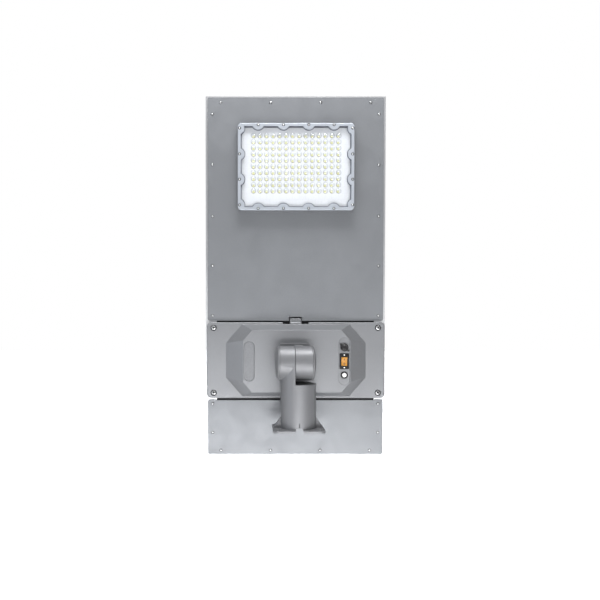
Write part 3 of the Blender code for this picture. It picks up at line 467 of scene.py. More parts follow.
class Shader:
    """A material's node tree with short calls for the nodes the finishes use."""

    def __init__(self, name, **values):
        self.material = bpy.data.materials.new(name)
        self.material.use_nodes = True
        self.tree = self.material.node_tree
        self.surface = self.tree.nodes["Principled BSDF"]
        self.coordinates = self.node("TexCoord")
        self.place = self.coordinates.outputs["Object"]
        for key, value in values.items():
            self.surface.inputs[key.replace("_", " ")].default_value = value

    def node(self, kind, inputs=(), **settings):
        return add_node(self.tree, kind, inputs, **settings)

    def stretched(self, scale):
        """Coordinates stretched by a scale along each axis."""
        return self.node("Mapping", {"Scale": scale, "Vector": self.place}).outputs["Vector"]

    def noise(self, scale, detail=2.0, rough=0.5, along=None):
        """Noise whose grain is 1 / scale metres across."""
        inputs = {"Scale": scale, "Detail": detail, "Roughness": rough}
        inputs["Vector"] = self.place if along is None else along
        return self.node("TexNoise", inputs).outputs["Fac"]

    def ramp(self, value, low, high, start=0.3, end=0.7):
        """A colour or grey that runs from low to high as the value runs from start to end."""
        node = self.node("ValToRGB", {"Fac": value})
        for point, place, tone in zip(node.color_ramp.elements, (start, end), (low, high)):
            point.position = place
            point.color = tone if isinstance(tone, tuple) else (tone, tone, tone, 1)
        return node.outputs["Color"]

    def maths(self, operation, *values):
        return self.node("Math", enumerate(values), operation=operation).outputs["Value"]

    def mixed(self, share, first, second, blend="MIX"):
        """Two colours mixed; each is a socket or an (r, g, b, 1) colour."""
        inputs = {0: share, 6: first, 7: second}
        return self.node("Mix", inputs, data_type="RGBA", blend_type=blend).outputs[2]

    def bump(self, height, distance, strength=1.0, over=None):
        inputs = {"Distance": distance, "Strength": strength, "Height": height}
        if over is not None:
            inputs["Normal"] = over
        return self.node("Bump", inputs).outputs["Normal"]

    def finish(self, colour=None, roughness=None, normal=None):
        values = {"Base Color": colour, "Roughness": roughness, "Normal": normal}
        for key, source in values.items():
            if source is not None:
                self.tree.links.new(source, self.surface.inputs[key])
        return self.material


def shade(colour, factor):
    return (colour[0] * factor, colour[1] * factor, colour[2] * factor, 1)


def coat(name, colour, metallic, roughness, flake=2400, peel=260, peel_depth=0.00002):
    """Metallic powder coat: fine flake, soft mottling and a little orange peel."""
    s = Shader(name, Metallic=metallic, IOR=1.5)
    flakes = s.ramp(s.noise(flake, 1.0), shade(colour, 0.86), shade(colour, 1.13), 0.32, 0.68)
    mottle = s.ramp(s.noise(9, 3.0), 0.955, 1.0, 0.35, 0.65)
    tone = s.mixed(1.0, flakes, mottle, "MULTIPLY")
    rough = s.ramp(s.noise(38, 4.0), roughness - 0.05, roughness + 0.06)
    peel_normal = s.bump(s.noise(peel, 2.0), peel_depth)
    normal = s.bump(s.noise(flake, 1.0), 0.000012, 0.6, peel_normal)
    return s.finish(tone, rough, normal)


def brushed(name, colour, along, roughness):
    """Anodised extrusion: fine drawing lines along one axis."""
    s = Shader(name, Metallic=1.0)
    scale = {"X": (12, 2600, 2600), "Z": (2600, 2600, 12)}[along]
    lines = s.noise(1.0, 2.0, 0.6, s.stretched(scale))
    broad = s.noise(1.0, 2.0, 0.5, s.stretched(tuple(v / 9 for v in scale)))
    tone = s.ramp(lines, shade(colour, 0.90), shade(colour, 1.05))
    tone = s.mixed(1.0, tone, s.ramp(broad, 0.93, 1.0), "MULTIPLY")
    rough = s.ramp(lines, roughness - 0.05, roughness + 0.09)
    return s.finish(tone, rough, s.bump(lines, 0.00001, 0.5))


def cast(name, colour):
    """Blasted casting: a pebbled skin."""
    s = Shader(name, Metallic=0.85)
    grain = s.noise(1100, 3.0, 0.6)
    tone = s.ramp(grain, shade(colour, 0.84), shade(colour, 1.08))
    rough = s.ramp(s.noise(60, 3.0), 0.44, 0.58)
    return s.finish(tone, rough, s.bump(grain, 0.00004, 0.8))


def plated(name, colour, roughness=0.28):
    """Zinc plate: clouded grey with faint spangle and handling marks."""
    s = Shader(name, Metallic=1.0)
    cloud = s.noise(420, 3.0, 0.6)
    tone = s.ramp(cloud, shade(colour, 0.78), shade(colour, 1.1), 0.3, 0.72)
    rough = s.ramp(s.noise(900, 2.0), roughness - 0.08, roughness + 0.14)
    return s.finish(tone, rough, s.bump(s.noise(1700, 2.0), 0.00001, 0.6))


def moulded(name, colour, roughness=0.45, texture=1400, depth=0.00002, spread=0.12, gloss=0.5):
    """Injection-moulded plastic with a fine spark-eroded texture."""
    s = Shader(name, Specular_IOR_Level=gloss)
    grain = s.noise(texture, 2.0, 0.6)
    cloud = s.noise(45, 3.0)
    tone = s.ramp(cloud, shade(colour, 1 - spread), shade(colour, 1 + spread))
    rough = s.ramp(grain, roughness - 0.06, roughness + 0.08)
    return s.finish(tone, rough, s.bump(grain, depth, 0.8))


def rubbery(name, colour):
    """Moulded rubber: matte, a little bloomed, with soft pebbling."""
    s = Shader(name, Sheen_Weight=0.02, Sheen_Roughness=0.5, Specular_IOR_Level=0.35)
    bloom = s.noise(130, 4.0, 0.6)
    tone = s.ramp(bloom, shade(colour, 0.8), shade(colour, 1.35), 0.35, 0.75)
    rough = s.ramp(bloom, 0.62, 0.8)
    return s.finish(tone, rough, s.bump(s.noise(900, 2.0), 0.00003, 0.8))


def clear(name, tint, roughness, texture_scale, texture_depth):
    """A clear sheet with a finely stippled gloss over what shows through it."""
    s = Shader(name)
    normal = s.bump(s.noise(texture_scale, 2.0), texture_depth, 0.5)
    see_through = s.node("BsdfTransparent", {"Color": tint}).outputs["BSDF"]
    gloss = s.node("BsdfGlossy", {"Roughness": roughness, "Normal": normal}).outputs["BSDF"]
    # both faces of the sheet gloss alike, more so at a glancing angle
    glance = s.node("LayerWeight", {"Blend": 0.5}).outputs["Facing"]
    share = s.maths("ADD", s.maths("MULTIPLY", s.maths("POWER", glance, 5), 0.9), 0.035)
    mix = s.node("MixShader", {"Fac": share, 1: see_through, 2: gloss}).outputs["Shader"]
    s.tree.links.new(mix, s.tree.nodes["Material Output"].inputs["Surface"])
    s.tree.nodes.remove(s.surface)
    return s.material


def lens_acrylic(name):
    """The clear moulded domes over the emitters, their steep walls greyed with painted shade."""
    s = Shader(name, IOR=1.49, Transmission_Weight=1.0, Roughness=0.03)
    # painted shade: the steep wall of each dome is made greyer than its crown
    normal = s.coordinates.outputs["Normal"]
    slope = s.node("SeparateXYZ", {"Vector": normal}).outputs["Y"]
    wall_shade = s.maths("SUBTRACT", 1.0, s.maths("ABSOLUTE", slope))
    tone = s.ramp(wall_shade, (0.93, 0.935, 0.94, 1), (0.10, 0.11, 0.13, 1), 0.28, 0.62)
    return s.finish(tone, normal=s.bump(s.noise(300, 1.0), 0.000006, 0.4))


def board_paint(name):
    """White solder mask with faint tracks beneath it."""
    s = Shader(name)
    upright = {"Rotation": (math.pi / 2, 0, 0), "Vector": s.place}
    tracks = s.node(
        "TexBrick",
        {
            "Vector": s.node("Mapping", upright).outputs["Vector"],
            "Scale": 1.0,
            "Mortar Size": 0.0006,
            "Brick Width": LENS_PITCH_X,
            "Row Height": LENS_PITCH_Z,
            "Color1": (0.66, 0.67, 0.68, 1),
            "Color2": (0.65, 0.66, 0.67, 1),
            "Mortar": (0.62, 0.63, 0.64, 1),
        },
    )
    rough = s.ramp(s.noise(70, 3.0), 0.30, 0.45)
    return s.finish(tracks.outputs["Color"], rough, s.bump(tracks.outputs["Fac"], 0.00003, 0.5))


def cell_silicon(name):
    """Solar cells: near-black blue, tone shifting from cell to cell, with fine printed fingers."""
    s = Shader(name, IOR=1.6, Coat_Weight=0.4, Coat_Roughness=0.12)
    height = s.node("SeparateXYZ", {"Vector": s.place}).outputs["Z"]
    phase = s.maths("FRACT", s.maths("DIVIDE", height, FINGER_PITCH))
    finger = s.maths("LESS_THAN", phase, 0.05)
    tone = s.ramp(
        s.noise(10.5, 0.0), (0.005, 0.007, 0.020, 1), (0.008, 0.013, 0.042, 1), 0.35, 0.65
    )
    tone = s.mixed(s.maths("MULTIPLY", finger, 0.35), tone, (0.30, 0.31, 0.34, 1))
    rough = s.ramp(s.noise(500, 2.0), 0.22, 0.34)
    return s.finish(tone, rough, s.bump(s.noise(2200, 1.0), 0.000004, 0.5))


def phosphor(name):
    """Yellow phosphor under clear silicone."""
    s = Shader(name, Coat_Weight=0.6, Coat_Roughness=0.08)
    tone = s.ramp(s.noise(2600, 2.0), (0.56, 0.54, 0.21, 1), (0.64, 0.62, 0.29, 1))
    rough = s.ramp(s.noise(900, 1.0), 0.38, 0.5)
    return s.finish(tone, rough, s.bump(s.noise(3000, 1.0), 0.00001, 0.6))


def floor_paint(name):
    s = Shader(name, Emission_Color=(1, 1, 1, 1))
    tone = s.ramp(s.noise(2.5, 3.0), 0.80, 0.84)
    rough = s.ramp(s.noise(6, 3.0), 0.7, 0.8)
    seen = s.node("LightPath").outputs["Is Camera Ray"]
    glow = s.maths("ADD", s.maths("MULTIPLY", seen, FLOOR_WHITE), FLOOR_GLOW)
    s.tree.links.new(glow, s.surface.inputs["Emission Strength"])
    return s.finish(tone, rough, s.bump(s.noise(40, 2.0), 0.0004, 0.2))


PAN_GREY = (0.180, 0.188, 0.201)
HOUSING_GREY = (0.192, 0.197, 0.208)
BEZEL_SILVER = (0.425, 0.455, 0.505)
FRAME_SILVER = (0.68, 0.69, 0.71)
# roughness, grain, its depth, the spread of the tone and the gloss
BLACK_GRAIN = (0.45, 1400, 0.00002, 0.12, 0.25)
ORANGE_GRAIN = (0.34, 2400, 0.000006, 0.05, 0.3)

# the material slot each finish belongs to, how it is made, its name and its settings
FINISH_TABLE = (
    ("pan_coat", coat, "pan_coat", PAN_GREY, 0.35, 0.42),
    ("housing_coat", coat, "housing_coat", HOUSING_GREY, 0.40, 0.40, 2200, 320, 0.00003),
    # painted shade: the sleeve, tilt head and end caps take a darker copy of the housing paint
    ("housing_coat", coat, "head_coat", (0.158, 0.161, 0.170), 0.40, 0.46, 2200, 320, 0.00003),
    ("bezel_aluminium", coat, "bezel_coat", BEZEL_SILVER, 0.45, 0.36, 1500, 400),
    ("frame_aluminium", brushed, "frame_across", FRAME_SILVER, "X", 0.34),
    ("frame_aluminium", brushed, "frame_upright", FRAME_SILVER, "Z", 0.34),
    ("plain_aluminium", brushed, "mill_sheet", (0.70, 0.71, 0.73), "X", 0.36),
    ("cast_aluminium", cast, "cast_grey", (0.55, 0.56, 0.58)),
    ("zinc_steel", plated, "zinc", (0.62, 0.63, 0.64)),
    ("black_plastic", moulded, "black_plastic", (0.007, 0.007, 0.008), *BLACK_GRAIN),
    ("orange_plastic", moulded, "orange_plastic", (0.46, 0.20, 0.015), *ORANGE_GRAIN),
    ("white_plastic", moulded, "white_plastic", (0.88, 0.88, 0.87), 0.3, 2400, 0.000006, 0.03),
    ("black_plastic", moulded, "grey_mark", (0.06, 0.03, 0.012), 0.5),
    ("white_plastic", moulded, "led_package", (0.55, 0.55, 0.53), 0.4, 2400, 0.000006, 0.03),
    # painted shade: the grey rim at the foot of each lens dome
    ("clear_lens", moulded, "lens_rim", (0.24, 0.25, 0.27), 0.3, 2400, 0.000006, 0.05),
    ("black_rubber", rubbery, "black_rubber", (0.012, 0.012, 0.013)),
    ("grey_rubber", rubbery, "grey_rubber", (0.16, 0.165, 0.175)),
    ("battery_wrap", moulded, "battery_wrap", (0.02, 0.09, 0.36), 0.22, 500, 0.00004, 0.1),
    ("label_film", coat, "label_film", (0.170, 0.175, 0.185), 0.30, 0.5, 900, 500),
    ("grey_rubber", rubbery, "lens_seal", (0.13, 0.14, 0.165)),
    ("black_rubber", moulded, "gloss_rubber", (0.005, 0.005, 0.006), 0.25, 900, 0.00001),
    ("solar_cells", moulded, "back_sheet", (0.80, 0.81, 0.80), 0.5, 1200, 0.00001, 0.03),
    ("white_board", board_paint, "white_board"),
    ("solar_glass", clear, "solar_glass", (0.97, 0.98, 0.98, 1), 0.06, 900, 0.00004),
    ("clear_lens", clear, "clear_lens", (0.985, 0.99, 1.0, 1), 0.04, 200, 0.00001),
    ("clear_lens", lens_acrylic, "lens_acrylic"),
    ("solar_cells", cell_silicon, "cell_silicon"),
    ("orange_plastic", phosphor, "phosphor"),
    ("zinc_steel", plated, "ribbon", (0.72, 0.73, 0.74), 0.35),
)
FINISHES = {name: make(name, *settings) for _, make, name, *settings in FINISH_TABLE}


# ---- putting pieces in the scene
def soften(obj, width, segments, angle):
    """Rounds the piece's edges and keeps its flat faces flat."""
    bevel = obj.modifiers.new("rounded edges", "BEVEL")
    bevel.width = width
    bevel.segments = segments
    bevel.limit_method = "ANGLE"
    bevel.angle_limit = math.radians(angle)
    bevel.use_clamp_overlap = False
    bevel.miter_outer = "MITER_ARC"
    obj.modifiers.new("flat faces", "WEIGHTED_NORMAL").keep_sharp = True


def piece(name, mesh, finish, body="head", replaces=(), edge=None, segments=2, angle=28):
    """A finished piece that rides on a body; edge is the rounding of its edges."""
    mesh.name = name
    mesh.materials.clear()
    mesh.materials.append(FINISHES[finish])
    mesh.shade_smooth()
    obj = new_object(name, mesh)
    if edge is None:
        mesh.set_sharp_from_angle(angle=math.radians(angle))
    else:
        soften(obj, edge, segments, angle)
    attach(obj, body)
    if replaces:
        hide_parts(*replaces)
    return obj


# ---- control housing
def dome_mesh(inset, face_y, foot_y):
    """The eight-sided raised face, from foot_y up to face_y, drawn in by inset."""
    rise = RIM_FACE_Y - DOME_FACE_Y
    rings = []
    for share, y in (((RIM_FACE_Y - foot_y) / rise, foot_y), (1.0, face_y)):
        ring = []
        for foot, face in zip(octagon(DOME_FOOT, inset), octagon(DOME_FACE, inset)):
            x = foot[0] + (face[0] - foot[0]) * share
            z = foot[1] + (face[1] - foot[1]) * share
            ring.append((x, y, BOX_Z + z))
        rings.append(ring)
    return loft(rings)


def corner_places():
    return [(sx * SCREW_X, BOX_Z + sz * SCREW_Z) for sz in (1, -1) for sx in (-1, 1)]


def build_housing():
    rim = plate(
        [rounded_rectangle(2 * BOX_X, 2 * BOX_HALF, BOX_CORNER)], RIM_FACE_Y, BOX_BACK_Y, z=BOX_Z
    )
    rim = round_front_edge(rim, BOX_EDGE, 6)
    top = BOX_Z + BOX_HALF
    tab_low = (-TAB_HALF_WIDTH, RIM_FACE_Y + 0.004, top - 0.006)
    tab = block(tab_low, (TAB_HALF_WIDTH, PAN_FACE_Y - 0.001, TAB_TOP))
    added = [dome_mesh(0, DOME_FACE_Y, RIM_FACE_Y + 0.002), tab]
    cut = []
    for side in (-1, 1):
        near, far = sorted((side * TAB_HALF_WIDTH, side * TAB_STEP_REACH))
        low = (near, RIM_FACE_Y - 0.002, top - TAB_STEP_DROP)
        cut.append(block(low, (far, BOX_BACK_Y + 0.002, top + 0.002)))

    inner = (2 * (BOX_X - RIM_WALL), 2 * (BOX_HALF - RIM_WALL))
    hollow = [rounded_rectangle(*inner, BOX_CORNER - RIM_WALL)]
    hollow_face = RIM_FACE_Y + SHELL
    cut.append(plate(hollow, hollow_face, BOX_BACK_Y + 0.01, z=BOX_Z))
    cut.append(dome_mesh(SHELL, DOME_FACE_Y + SHELL, hollow_face + 0.002))
    seat = [rounded_rectangle(inner[0] + 0.004, inner[1] + 0.004, BOX_CORNER - RIM_WALL + 0.002)]
    cut.append(plate(seat, BOX_BACK_Y - 0.0042, BOX_BACK_Y + 0.01, z=BOX_Z))

    for x, z in corner_places():
        face = (x, RIM_FACE_Y, z)
        cut.append(rod(SCREW_HOLE_RADIUS, -0.03, 0.03, face, "Y", 24))
        cut.append(rod(SCREW_SINK_RADIUS, -0.01, SCREW_SINK_DEPTH, face, "Y", 40))

    in_front = DOME_FACE_Y - 0.01
    floor_y = DOME_FACE_Y + RECESS_DEPTH
    behind = DOME_FACE_Y + 0.012
    for outline, depth, x, rise in (
        (capsule(RECESS_WIDTH, PORT_RECESS_HEIGHT), floor_y, PORT_X, 0),
        (capsule(RECESS_WIDTH, LABEL_RECESS_HEIGHT), floor_y, -PORT_X, 0),
        (circle(SOCKET_HOLE_RADIUS), behind, PORT_X, PORT_PITCH),
        (rounded_rectangle(*SWITCH_HOLE), behind, PORT_X, 0),
        (circle(BUTTON_HOLE_RADIUS), behind, PORT_X, -PORT_PITCH),
    ):
        cut.append(plate([outline], in_front, depth, x, BOX_Z + rise))
    casting = carve(rim, *map(plus, added), *map(minus, cut))
    piece("housing_casting", casting, "housing_coat", "head", ["control_housing"], 0.0006, 3, 24)
    plate_outline = capsule(RECESS_WIDTH - 0.0044, LABEL_RECESS_HEIGHT - 0.0044)
    label = plate([plate_outline], DOME_FACE_Y - 0.0002, floor_y - GAP, -PORT_X, BOX_Z)
    piece("label_plate", label, "label_film", replaces=["blank_label"], edge=0.0004)


def cross_screw(radius, height, centre, turn, recess=0.42, bar_width=0.15):
    """A flat-domed screw head facing -Y with a cross recess, seated at the centre."""
    profile = [(0, height)]
    profile += [
        (radius * math.sin(a) * 0.96, height * (0.45 + 0.55 * math.cos(a)))
        for a in (math.radians(v) for v in (25, 45, 62, 78, 90))
    ]
    profile += [(radius, height * 0.3), (radius, 0), (0, 0)]
    head = turned(profile, (0, 0, 0), "-Y", 28)
    bar = radius * recess
    width = radius * bar_width
    cut = []
    for x, z in ((bar, width), (width, bar)):
        cut.append(block((-x, -height - 0.001, -z), (x, -height * 0.35, z)))
    mesh = carve(head, *map(minus, cut))
    mesh.transform(Matrix.Translation(centre) @ Matrix.Rotation(turn, 4, "Y"))
    return mesh


def build_housing_screws():
    """Large screws in the rim's corners on black sealing rings, with black crosses in their
    recesses as painted shade.
    """
    rings = []
    section = [(0.0044, 0.0006), (0.0056, 0.0012), (0.0066, 0.0003), (0.0066, 0), (0.0044, 0)]
    for index, (x, z) in enumerate(corner_places(), 1):
        rings.append(turned(section, (x, RIM_FACE_Y + 0.0014, z), "-Y", 40))
        seat = (x, RIM_FACE_Y + CORNER_SCREW_DEPTH, z)
        turn = 0.35 + index * 0.9
        head = cross_screw(*CORNER_SCREW, seat, turn, 0.74, 0.22)
        # painted shade: a black cross set into each head's recess
        bars = ((0.0035, 0.0010), (0.0010, 0.0035))
        cross = together([block((-a, -0.0012, -b), (a, -0.0004, b)) for a, b in bars])
        cross.transform(Matrix.Translation(seat) @ Matrix.Rotation(turn, 4, "Y"))
        rings.append(cross)
        screw = together([head, rod(0.0024, 0, 0.012, seat, "Y", 20)])
        piece(f"corner_screw_{index}", screw, "zinc", replaces=[f"housing_screw_{index}"])
    piece("screw_seals_and_recess_shade", together(rings), "black_rubber")


# ---- ports
def build_cap():
    """The socket's rubber cap: rolled edge, raised centre, strap lug and finger tab."""
    back = SOCKET_FACE_Y - GAP
    thickness = 0.0022
    peg = (0.0080, -0.0066)
    strap = math.degrees(math.atan2(peg[1], peg[0]))
    radius = 0.0086
    outline = arc((0, 0), radius, strap + 15, strap + 165, 24)
    tab = (-0.0074, 0.0061)
    outline += arc(tab, 0.0025, strap + 115, strap + 245, 10)
    outline += arc((0, 0), radius, strap + 195, strap + 345, 24)
    outline += arc(peg, 0.0024, strap - 70, strap + 70, 10)
    disc = plate([outline], back - thickness, back, PORT_X, SOCKET.z)
    crown = [(0, 0.0008), (0.0035, 0.0008), (0.0042, 0.0005), (0.0045, 0), (0.0045, -0.001)]
    crown += [(0, -0.001)]
    rim = [(0.0062, 0.0006), (0.0070, 0.0006), (0.0074, 0), (0.0074, -0.0010)]
    rim += [(0.0058, -0.0010), (0.0058, 0)]
    face = (PORT_X, back - thickness, SOCKET.z)
    button = [(0, 0.0007), (0.0010, 0.0006), (0.0014, 0), (0.0014, -0.001), (0, -0.001)]
    peg_face = (PORT_X + peg[0], back - thickness, SOCKET.z + peg[1])
    added = [turned(crown, face, "-Y", 40), turned(rim, face, "-Y", 40)]
    added.append(turned(button, peg_face, "-Y", 20))
    mesh = carve(disc, *map(plus, added))
    piece("cap_rubber", mesh, "gloss_rubber", "cap", ["socket_cap"], 0.00035, 2, 30)


def build_socket():
    face = (PORT_X, SOCKET_FACE_Y, SOCKET.z)
    flange = 0.0024
    depth = 0.0180
    profile = [(0, -0.0110), (0.0046, -0.0110), (0.0046, -0.0004), (0.0050, 0)]
    profile += [(0.0082, 0), (0.0088, -0.0006), (0.0088, -flange), (0.0064, -flange)]
    profile += [(0.0064, -depth), (0, -depth)]
    body = turned(profile, face, "-Y", 48)
    piece("socket_body", body, "black_plastic", replaces=["charge_socket"])
    pin = [(0, -0.0030), (0.0006, -0.0033), (0.0009, -0.0040), (0.0009, -0.0112), (0, -0.0112)]
    contacts = [turned(pin, face, "-Y", 20)]
    sleeve = [(0.0042, -0.0036), (0.0045, -0.0036), (0.0045, -0.0109), (0.0042, -0.0109)]
    contacts.append(turned(sleeve, face, "-Y", 32))
    piece("socket_contacts", together(contacts), "zinc")


def build_switch():
    """Surround with round indicator dots above and below a rocker with raised marks."""
    back = DOME_FACE_Y + RECESS_DEPTH - GAP
    frame_outline = rounded_rectangle(0.0200, 0.0340, 0.0012)
    flange = plate([frame_outline], SWITCH_FACE_Y, back, PORT_X, BOX_Z)
    flange = round_front_edge(flange, 0.0005, 3)
    neck_outline = rounded_rectangle(0.0164, 0.0304, 0.0008)
    neck = plate([neck_outline], SWITCH_FACE_Y + 0.001, 0.0620, PORT_X, BOX_Z)
    cut = [plate([rounded_rectangle(0.0134, 0.0202, 0.0008)], 0.030, 0.0560, PORT_X, BOX_Z)]
    dot = [(0, 0.0001), (0.0009, 0.00005), (0.0014, -0.0002), (0.0014, -0.0006), (0, -0.0006)]
    dots = []
    for side in (-1, 1):
        face = (PORT_X, SWITCH_FACE_Y, BOX_Z + side * 0.0137)
        cut.append(rod(0.0015, -0.001, 0.0007, face, "Y", 28))
        dots.append(turned(dot, face, "-Y", 28))
    mesh = carve(flange, plus(neck), *map(minus, cut))
    piece("switch_frame", mesh, "black_plastic", replaces=["switch_surround"])
    piece("switch_dots", together(dots), "white_plastic")


def build_rocker():
    """The rocker: two curved wings meeting in a shallow valley, with raised marks."""
    low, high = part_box("switch_rocker")
    axis = Vector((PORT_X, DOME_FACE_Y + 0.0022, BOX_Z))
    half = (high.x - low.x) / 2
    profile = []
    for step in range(13):
        z = ROCKER_REACH - 2 * ROCKER_REACH * step / 12
        profile.append((z, 0.0022 + 0.0012 * (abs(z) / ROCKER_REACH) ** 1.6))
    profile += [(-0.0086, -0.0030), (-0.0038, -0.0052), (0.0038, -0.0052), (0.0086, -0.0030)]
    rings = [[(x, -out, z) for z, out in profile] for x in (-half, half)]
    turn = Matrix.Translation(axis) @ Matrix.Rotation(ROCKER_REST, 4, "X")
    body = loft(rings)
    body.transform(turn)
    piece("rocker_body", body, "orange_plastic", "rocker", ["switch_rocker"], 0.0005, 3, 30)
    bar = block((-0.0006, -0.00320, 0.0030), (0.0006, -0.0020, 0.0072))
    ring = [(0.0012, 0.0003), (0.0022, 0.0003), (0.0022, -0.001), (0.0012, -0.001)]
    loop = turned(ring, (0, -0.00285, -0.0050), "-Y", 28)
    marks = together([bar, loop])
    marks.transform(turn)
    piece("rocker_marks", marks, "grey_mark", "rocker")


def build_button():
    ring_face = (PORT_X, DOME_FACE_Y + RECESS_DEPTH - GAP, BUTTON.z)
    ring = [(0.0052, 0.0016), (0.0056, 0.0020), (0.0072, 0.0020), (0.0078, 0.0014), (0.0078, 0)]
    ring += [(0.0061, 0), (0.0061, -0.0126), (0.0052, -0.0126)]
    collar = turned(ring, ring_face, "-Y", 56)
    piece("button_collar", collar, "black_plastic", replaces=["button_ring"])
    face = [(0, 0.0029), (0.0020, 0.0030), (0.0032, 0.0033), (0.0040, 0.0033)]
    face += [(0.0045, 0.0029), (0.0046, 0.0022), (0.0046, -0.0086), (0, -0.0086)]
    key = turned(face, ring_face, "-Y", 56)
    piece("button_key", key, "white_plastic", "button", ["push_button"])


# ---- lamp module
def bezel_screw_places():
    reach_x = LED_WIDTH / 2 - BEZEL_SCREW_INSET
    reach_z = LED_HEIGHT / 2 - BEZEL_SCREW_INSET
    places = [(x, LED.z + side * reach_z) for x in LOBES_ACROSS for side in (-1, 1)]
    return places + [(side * reach_x, LED.z + z) for z in LOBES_UP for side in (-1, 1)]


def build_bezel():
    """The screwed ring: rolled outer edge, lobes around each screw and a sink for each head."""
    face_y = LED_LOW.y
    back_y = LED_HIGH.y
    outer = plate([rounded_rectangle(LED_WIDTH, LED_HEIGHT, 0.008)], face_y, back_y, z=LED.z)
    outer = round_front_edge(outer, 0.0014, 4)
    window = plate([lobed_outline(BEZEL_BAND, LOBE_RADIUS)], face_y - 0.01, back_y + 0.01, z=LED.z)
    rebate_line = lobed_outline(BEZEL_BAND - 0.0031, LOBE_RADIUS + 0.0002)
    rebate = plate([rebate_line], face_y + 0.0018, back_y + 0.01, z=LED.z)
    cut = [window, rebate]
    heads, washers = [], []
    washer = [(0.0019, 0), (0.0019, 0.0007), (0.0030, 0.0007), (0.0032, 0.0005), (0.0032, 0)]
    for index, (x, z) in enumerate(bezel_screw_places()):
        cut.append(rod(0.0034, -0.001, 0.0013, (x, face_y, z), "Y", 28))
        heads.append(cross_screw(0.0020, 0.0014, (x, face_y + 0.0013, z), 0.5 + 1.3 * index))
        washers.append(turned(washer, (x, face_y + 0.00125, z), "-Y", 28))
    mesh = carve(outer, *map(minus, cut))
    piece("bezel_casting", mesh, "bezel_coat", replaces=["lamp_bezel"], edge=0.0003)
    piece("bezel_screws", together(heads), "zinc")
    piece("bezel_washers", together(washers), "black_rubber")


def lens_places():
    for row in range(LENS_ROWS):
        for column in range(LENS_COLUMNS):
            x = (column - (LENS_COLUMNS - 1) / 2) * LENS_PITCH_X
            z = LED.z + LENS_LIFT + (row - (LENS_ROWS - 1) / 2) * LENS_PITCH_Z
            yield x, z


def build_emitters():
    """Emitters on the board, each under a clear dome ringed at its foot by a low grey rim of
    painted shade.
    """
    domes, edge_shade_rims, packages, centres = [], [], [], []
    # each rim paints the shade seen around the edge of its dome
    rim = [(0.0052, 0), (0.0052, 0.0003), (0.0054, 0.0005), (0.0058, 0.0004), (0.0058, 0)]
    disc = [(0, 0.00008), (0.0015, 0.00004), (0.0016, -0.0001), (0, -0.0001)]
    profile = [(0, LENS_HEIGHT)]
    for step in range(1, 7):
        angle = math.radians(90 * step / 6)
        profile.append((LENS_RADIUS * math.sin(angle), LENS_HEIGHT * math.cos(angle)))
    profile.append((0, 0))
    for x, z in lens_places():
        domes.append(turned(profile, (x, LENS_FACE_Y - 0.00005, z), "-Y", 24))
        edge_shade_rims.append(turned(rim, (x, LENS_FACE_Y - 0.00002, z), "-Y", 24))
        low = (x - PACKAGE_HALF, BOARD_FACE_Y - PACKAGE_HEIGHT, z - PACKAGE_HALF)
        packages.append(block(low, (x + PACKAGE_HALF, BOARD_FACE_Y, z + PACKAGE_HALF)))
        centres.append(turned(disc, (x, BOARD_FACE_Y - PACKAGE_HEIGHT, z), "-Y", 16))
    piece("lens_domes", together(domes), "lens_acrylic").visible_shadow = False
    piece("dome_edge_shades", together(edge_shade_rims), "lens_rim").visible_shadow = False
    piece("led_packages", together(packages), "led_package")
    piece("led_phosphor", together(centres), "phosphor")


# ---- pans, frame and solar face
def pan_screw_places():
    places = [(x, PANEL_Z + z) for z in PAN_SCREW_ROWS for x in PAN_SCREWS_ACROSS]
    for z in PAN_SCREWS_UP:
        places += [(side * PAN_SCREW_SIDE, PANEL_Z + z) for side in (-1, 1)]
    return places


def build_pan_screws():
    heads, washers = [], []
    washer = [(0.0018, 0), (0.0018, 0.0004), (0.0029, 0.0004), (0.0031, 0.0002), (0.0031, 0)]
    for index, (x, z) in enumerate(pan_screw_places()):
        heads.append(cross_screw(0.0021, 0.0012, (x, PAN_FACE_Y, z), 0.7 * index, 0.5))
        washers.append(turned(washer, (x, PAN_FACE_Y, z), "-Y", 24))
    piece("pan_screws", together(heads), "zinc")
    piece("pan_washers", together(washers), "black_rubber")


def build_gap_shade_strips():
    """Black strips behind the gaps above and below the control housing, painting the shade in the
    gaps.
    """
    strips = []
    for z in (BOX_Z + BOX_HALF, BOX_Z - BOX_HALF):
        outline = rounded_rectangle(2 * GAP_SHADE_REACH, 0.014, 0.002, 4)
        strips.append(plate([outline], BOX_BACK_Y + 0.0012, BOX_BACK_Y + 0.0062, z=z))
    piece("gap_shade_strips", together(strips), "black_rubber")


def build_lower_pan():
    """The lower pan, its top edge cut back along the black strip of painted shade."""
    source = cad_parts["lower_back_pan"]
    mesh = source.data.copy()
    mesh.transform(source.matrix_world)
    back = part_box("lower_back_pan")[1].y
    low = (-GAP_SHADE_REACH, PAN_FACE_Y - 0.002, LOWER_PAN_TOP - PAN_CUT_BACK)
    cut = block(low, (GAP_SHADE_REACH, back + 0.002, LOWER_PAN_TOP + 0.002))
    sheet = carve(mesh, minus(cut))
    piece("lower_pan_sheet", sheet, "pan_coat", replaces=["lower_back_pan"], edge=0.0004)


